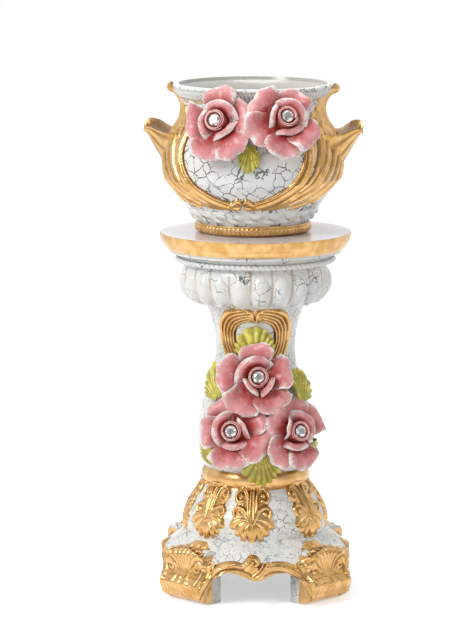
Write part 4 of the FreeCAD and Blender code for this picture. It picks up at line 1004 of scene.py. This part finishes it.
# roses
roseLook = {
    # outer petals: direction, reach, half width, how high its layer lies
    # inner petals: direction, half span, rim radius, height, lean
    "top_rose": dict(body="stand", turn=0.0, facing=2.0, lift=15.0,
                     outer=[(97, 43, 19, 3.0), (174, 52, 22, 1.0), (14, 43, 20, 0.0), (242, 52, 22, 4.6),
                            (300, 48, 22, 2.0)],
                     inner=[(120, 78, 22, 21, 1.0), (228, 44, 17.5, 24, 0.3), (322, 40, 18.5, 25, 0.5)]),
    "left_rose": dict(body="stand", turn=0.0, facing=-14.0, lift=13.0,
                      outer=[(166, 41, 19, 3.0), (104, 44, 20, 0.0), (20, 46, 20, 1.0), (322, 50, 22, 3.4),
                             (252, 46, 23, 1.0)],
                      inner=[(150, 72, 21, 20, 0.9), (14, 46, 18, 24, 0.3), (268, 50, 20, 18, 1.0)]),
    "right_rose": dict(body="stand", turn=0.0, facing=31.0, lift=16.0,
                       outer=[(64, 43, 21, 0.0), (124, 43, 20, 2.0), (184, 45, 17, 5.0), (246, 52, 20, 2.6),
                              (312, 46, 22, 1.0)],
                       inner=[(70, 66, 21, 21, 0.9), (186, 46, 18, 24, 0.3), (292, 52, 21, 19, 0.9)]),
    "pot_left_rose": dict(body="pot", turn=-6.0, facing=-14.0, lift=18.0,
                          outer=[(78, 44, 20, 2.0), (172, 40, 20, 3.6), (246, 48, 23, 1.0),
                                 (302, 50, 22, 3.0), (4, 43, 21, 0.0)],
                          inner=[(62, 70, 21, 22, 0.8), (176, 52, 20, 22, 0.7), (300, 52, 21, 20, 0.9)]),
    "pot_right_rose": dict(body="pot", turn=-6.0, facing=23.0, lift=25.0,
                           outer=[(86, 40, 20, 2.0), (160, 46, 21, 0.0), (228, 54, 21, 3.4),
                                  (283, 50, 22, 1.0), (342, 46, 22, 3.0)],
                           inner=[(66, 72, 21, 22, 0.7), (186, 46, 19, 24, 0.4), (310, 56, 21, 19, 0.9)]),
}
petalLook = {"root": 6.0, "rise": 12.5, "cup": 5.5, "lip": 6.5, "thick": 2.3, "tuck": 3.6, "ripple": 1.5}


def outerPetal(name, angle, reach, half, layer, seed):
    draw = np.random.default_rng(seed)
    look = petalLook
    sheet, grid, u, v = flatSheet(name, 26, 22)
    v = (v + 1) / 2
    wave1, wave2, wave3 = draw.uniform(0, 6.28, 3)
    lean = draw.uniform(-0.10, 0.10)
    wide = 1.13 * half * (0.36 + 0.64 * np.sin(1.75 * v ** 0.85) ** 0.8)
    x = wide * u * (1 + 0.05 * np.sin(2.2 * v * np.pi + wave3)) + lean * reach * v * v
    crown = 1 - 0.25 * np.abs(u) ** 2.8 - 0.03 * np.sin(4.2 * u + wave1) - 0.015 * np.sin(9 * u + wave2)
    y = look["root"] + (reach - look["root"]) * v * (1 + (crown - 1) * v ** 1.5)
    z = 0.5 + layer + look["rise"] * np.sin(np.pi / 2 * np.clip(v / 0.80, 0, 1)) ** 1.35
    z += look["cup"] * np.abs(u) ** 2.2 * step01(v, 0.15, 0.75)
    z += look["tuck"] * u * step01(v, 0.0, 0.5)
    z += look["ripple"] * np.sin(2.1 * np.pi * u + wave2) * v ** 2.5
    z -= 1.6 * np.exp(-(u * 2.6) ** 2) * step01(v, 0.3, 0.9)
    edge = (np.abs(u) ** 6 + v ** 8) ** (1 / 7) * step01(v, 0.0, 0.35)
    roll = step01(edge, 0.70, 1.06)
    z -= look["lip"] * roll ** 1.8 * (0.75 + 0.35 * np.sin(3 * u + wave1))
    y -= 1.6 * roll ** 2 * v
    x *= 1 - 0.05 * roll
    turn = math.radians(angle - 90)
    points = np.stack([x * math.cos(turn) - y * math.sin(turn),
                       x * math.sin(turn) + y * math.cos(turn), z], -1)
    press(sheet, grid, points)
    mark(sheet, grid, "rim", np.clip(edge, 0, 1.2))
    mark(sheet, grid, "depth", np.clip(v * 1.12 - 0.12 * np.abs(u), 0, 1))
    return sheet


def innerPetal(name, angle, span, rim, high, lean, seed):
    draw = np.random.default_rng(seed)
    sheet, grid, u, v = flatSheet(name, 28, 16)
    v = (v + 1) / 2
    spiral = 2.0 * u * draw.choice([-1, 1])
    foot = 11.2
    # a straight blade stands along its chord, a cup follows the circle
    chord = rim * math.cos(math.radians(span)) / np.cos(np.radians(span * u))
    top = (rim * 0.62 + chord * 0.38 if span < 60 else rim) + spiral
    reach = foot + (top - foot) * v ** (1.5 - 0.6 * lean)
    side = 1 - 0.42 * np.abs(u) ** 3.4
    z = 2.0 + (high - 2.0) * np.sin(np.pi / 2 * v) ** 0.95 * side
    z += 1.0 * np.sin(2.2 * np.pi * u + draw.uniform(0, 6.28)) * v ** 3
    edge = (np.abs(u) ** 7 + v ** 8) ** (1 / 7) * step01(v, 0.0, 0.3)
    roll = step01(edge, 0.66, 1.05)
    reach = reach + (2.6 + 2.4 * lean) * roll * v
    z -= (1.8 + 2.6 * lean) * roll ** 2
    turn = math.radians(angle) + u * math.radians(span)
    press(sheet, grid, np.stack([reach * np.cos(turn), reach * np.sin(turn), z], -1))
    mark(sheet, grid, "rim", np.clip(edge + 0.04, 0, 1.2))
    mark(sheet, grid, "depth", np.clip(v * 0.9, 0, 1))
    return sheet


def rolledBud(name, seed):
    # one strip of clay rolled twice round the stone, its outer turn standing a little lower
    sheet, grid, u, v = flatSheet(name, 96, 10)
    t, v = (u + 1) / 2, (v + 1) / 2
    turn = 2 * np.pi * 2.05 * t + seed
    reach = 8.4 + 3.1 * t + 0.7 * np.sin(turn + 1.0) * t
    top = 25.6 - 3.0 * t - 1.6 * step01(t, 0.9, 1.0)
    z = 0.5 + (top - 0.5) * v
    lip = step01(v, 0.82, 1.0)
    reach = reach + 1.2 * lip - 0.2 + (1 - v) * 0.6
    press(sheet, grid, np.stack([reach * np.cos(turn), reach * np.sin(turn), z], -1))
    mark(sheet, grid, "rim", 0.58 + 0.40 * step01(v, 0.86, 0.97))
    mark(sheet, grid, "depth", np.clip(v * 0.8, 0, 1))
    applied(sheet, "SOLIDIFY", thickness=1.5 * mm, offset=0.0)
    applied(sheet, "SUBSURF", levels=1, render_levels=1)
    bpy.ops.object.select_all(action="DESELECT")
    bpy.ops.mesh.primitive_cylinder_add(vertices=40, radius=8.4 * mm, depth=19.5 * mm,
                                        location=(0, 0, 10.2 * mm))
    core = bpy.context.object
    bpy.ops.object.transform_apply(location=True)
    every = np.arange(len(core.data.vertices)).reshape(1, -1)
    mark(core, every, "rim", np.full(every.size, 0.3))
    mark(core, every, "depth", np.zeros(every.size))
    return joined(name, [sheet, core])


def cutStone(name):
    # a round brilliant in its foil: table, eight stars, eight kites, girdle and a pointed back
    rings = [(4.1, 25.2, 8, 0.0), (5.9, 24.3, 8, 0.5), (7.3, 22.9, 16, 0.0), (7.3, 22.3, 16, 0.0),
             (0.5, 18.9, 8, 0.0)]
    bpy.ops.object.select_all(action="DESELECT")
    bpy.ops.mesh.primitive_circle_add(vertices=8, radius=rings[0][0] * mm, fill_type="NGON",
                                      location=(0, 0, rings[0][1] * mm))
    stone = bpy.context.object
    bpy.ops.object.transform_apply(location=True)
    stone.name = name
    mesh = stone.data
    points = [v.co.copy() for v in mesh.vertices]
    start = []
    for radius, level, count, phase in rings[1:]:
        start.append(len(points))
        for k in range(count):
            angle = 2 * math.pi * (k + phase) / count + math.pi / 2
            points.append(Vector((-radius * math.sin(angle - math.pi / 2),
                                  radius * math.cos(angle - math.pi / 2), level)) * mm)
    table = points[:8]
    first = min(range(8), key=lambda i: abs(table[i].x) + (0 if table[i].y > 0 else 9))
    order = [first + k for k in range(8)]
    if table[(first + 1) % 8].x > 0:
        order = [first - k for k in range(8)]
    t = [i % 8 for i in order]
    mid, girdle, low, back = start
    faces = [t[:]]
    for k in range(8):
        after = (k + 1) % 8
        faces.append([t[k], mid + k, t[after]])
        faces.append([t[k], mid + (k - 1) % 8, girdle + 2 * k, mid + k])
        faces.append([mid + k, girdle + 2 * k, girdle + 2 * k + 1])
        faces.append([mid + k, girdle + 2 * k + 1, girdle + (2 * k + 2) % 16])
    for k in range(16):
        after = (k + 1) % 16
        faces.append([girdle + k, low + k, low + after, girdle + after])
        faces.append([low + k, back + (k // 2) % 8, back + (after // 2) % 8, low + after] if k % 2 else
                     [low + k, back + (k // 2) % 8, low + after])
    faces.append([back + k for k in range(8)])
    mesh.clear_geometry()
    mesh.from_pydata(points, [], faces)
    mesh.update()
    bpy.context.view_layer.objects.active = stone
    bpy.ops.object.mode_set(mode="EDIT")
    bpy.ops.mesh.select_all(action="SELECT")
    bpy.ops.mesh.normals_make_consistent(inside=False)
    bpy.ops.object.mode_set(mode="OBJECT")
    # every facet gets a random tone from black to white: painted reflections, not the stone's own colour
    shade = mesh.attributes.new("facetReflection", "FLOAT", "FACE")
    draw = np.random.default_rng(7)
    reflectionTones = draw.choice([0.12, 0.75, 1.0, 1.0, 0.45], len(mesh.polygons)).astype(np.float32)
    shade.data.foreach_set("value", reflectionTones)
    return stone


for rose, look in roseLook.items():
    lift, facing = math.radians(look["lift"]), math.radians(look["facing"])
    axis = Vector((math.sin(facing) * math.cos(lift), -math.cos(facing) * math.cos(lift), math.sin(lift)))
    seat = Vector((0, 0, 1)).rotation_difference(axis).to_matrix().to_4x4()
    seat = Matrix.Rotation(math.radians(look["turn"]), 4, "Z") @ seat
    low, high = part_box(f"{rose}_stone")
    seat.translation = (low + high) / 2 - (seat.to_3x3() @ Vector((0, 0, 1))) * 21.9 * mm
    seedBase = sum(map(ord, rose))
    outer = []
    for k, petal in enumerate(look["outer"]):
        outer.append(outerPetal(f"petal{k}", *petal, seedBase + k))
    outer = joined(f"{rose}_petals_outer", outer)
    inner = joined(f"{rose}_petals_inner",
                   [innerPetal(f"heart{k}", *petal, seedBase + 20 + k)
                    for k, petal in enumerate(look["inner"])])
    for part in (outer, inner):
        applied(part, "SOLIDIFY", thickness=petalLook["thick"] * mm, offset=0.0)
        applied(part, "SUBSURF", levels=1, render_levels=1)
    bud = rolledBud(f"{rose}_rolled_bud", seedBase % 6)
    gem = cutStone(f"{rose}_gem")
    for part in (outer, inner, bud, gem):
        part.data.transform(seat)
    finishPiece(outer, look["body"], "petal", [f"{rose}_outer_petals"])
    finishPiece(inner, look["body"], "petal", [f"{rose}_inner_petals"])
    finishPiece(bud, look["body"], "bud", [f"{rose}_bud"])
    finishPiece(gem, look["body"], "stone", [f"{rose}_stone"], smooth=False)
print("roses made")

# leaves
leafLook = {
    # node: body, root (around, level, out), tip (around, level, out), half spread in degrees, camber
    "leaf_top": ("stand", (0, 284, 56), (-2, 331, 56), 56, 5.0),
    "leaf_upper_left": ("stand", (-34, 240, 78), (-55, 283, 62), 50, 6.0),
    "leaf_upper_right": ("stand", (42, 236, 80), (60, 277, 64), 50, 6.0),
    "leaf_bottom": ("stand", (4, 188, 80), (7.7, 136, 71), 52, 5.0),
    "leaf_lower_left": ("stand", (-38, 186, 84), (-58, 166, 76), 52, 4.0),
    "leaf_lower_right": ("stand", (50, 186, 84), (69, 160, 75), 52, 4.0),
    "pot_leaf_centre": ("pot", (-2, 555, 112), (-3.5, 517.0, 109.5), 36, 4.0),
    "pot_leaf_right": ("pot", (22, 562, 112), (27, 536, 109.5), 40, 4.0),
}
leafCut = {"pleats": 4.4, "deep": 1.9, "teeth": 0.07, "thick": 1.8}


def leafBlade(name, body, root, tip, spread, camber, seed):
    draw = np.random.default_rng(seed)
    axisX = 0.0 if body == "stand" else potAxis

    def spot(where):
        turn = math.radians(where[0])
        return np.array([axisX + where[2] * math.sin(turn), -where[2] * math.cos(turn), where[1]])
    start, end = spot(root), spot(tip)
    run = end - start
    length = np.linalg.norm(run)
    run = run / length
    middle = (start + end) / 2 - np.array([axisX, 0, (start + end)[2] / 2])
    across = np.cross(run, middle)
    across /= np.linalg.norm(across)
    outward = np.cross(across, run)
    sheet, grid, u, v = flatSheet(name, 120, 26)
    rho = 0.10 + 0.90 * (v + 1) / 2
    turn = np.radians(spread) * u
    # pleats fan out from the root; the rim is notched between them
    fan = leafCut["pleats"] * u + 0.45 * np.sin(3.5 * u + draw.uniform(0, 6.28)) + 0.5 * u * (1 - rho)
    pleat = 0.5 + 0.5 * np.cos(2 * np.pi * fan)
    limit = 1 - 0.30 * np.abs(u) ** 1.15 - 0.10 * u ** 2
    limit = limit - leafCut["teeth"] * (1 - pleat) * (0.6 + 0.4 * np.abs(u))
    limit = limit * (1 + draw.uniform(-0.03, 0.03) * np.sin(5 * u + 2))
    out = length * rho * (1 + (limit - 1) * rho ** 2)
    x, y = out * np.sin(turn) * 1.04, out * np.cos(turn)
    deep = leafCut["deep"] * np.clip(rho * 1.3, 0, 1) * (1 - 0.35 * step01(rho, 0.85, 1.0))
    z = camber * np.sin(np.pi * rho) * 0.8 - camber * 1.1 * u ** 2 * rho + deep * pleat ** 0.8
    z += 1.4 * np.sin(2.4 * u + draw.uniform(0, 6.28)) * rho ** 2 - 2.2 * step01(rho, 0.8, 1.0)
    points = start + x[..., None] * across + y[..., None] * run + z[..., None] * outward
    press(sheet, grid, points)
    mark(sheet, grid, "vein", np.clip(1 - pleat, 0, 1))
    applied(sheet, "SOLIDIFY", thickness=leafCut["thick"] * mm, offset=-1.0)
    return sheet


for number, (name, (body, root, tip, spread, camber)) in enumerate(leafLook.items()):
    blade = leafBlade(f"{name}_blade", body, root, tip, spread, camber, number)
    finishPiece(blade, body, "leaf", [name])
print("leaves made")
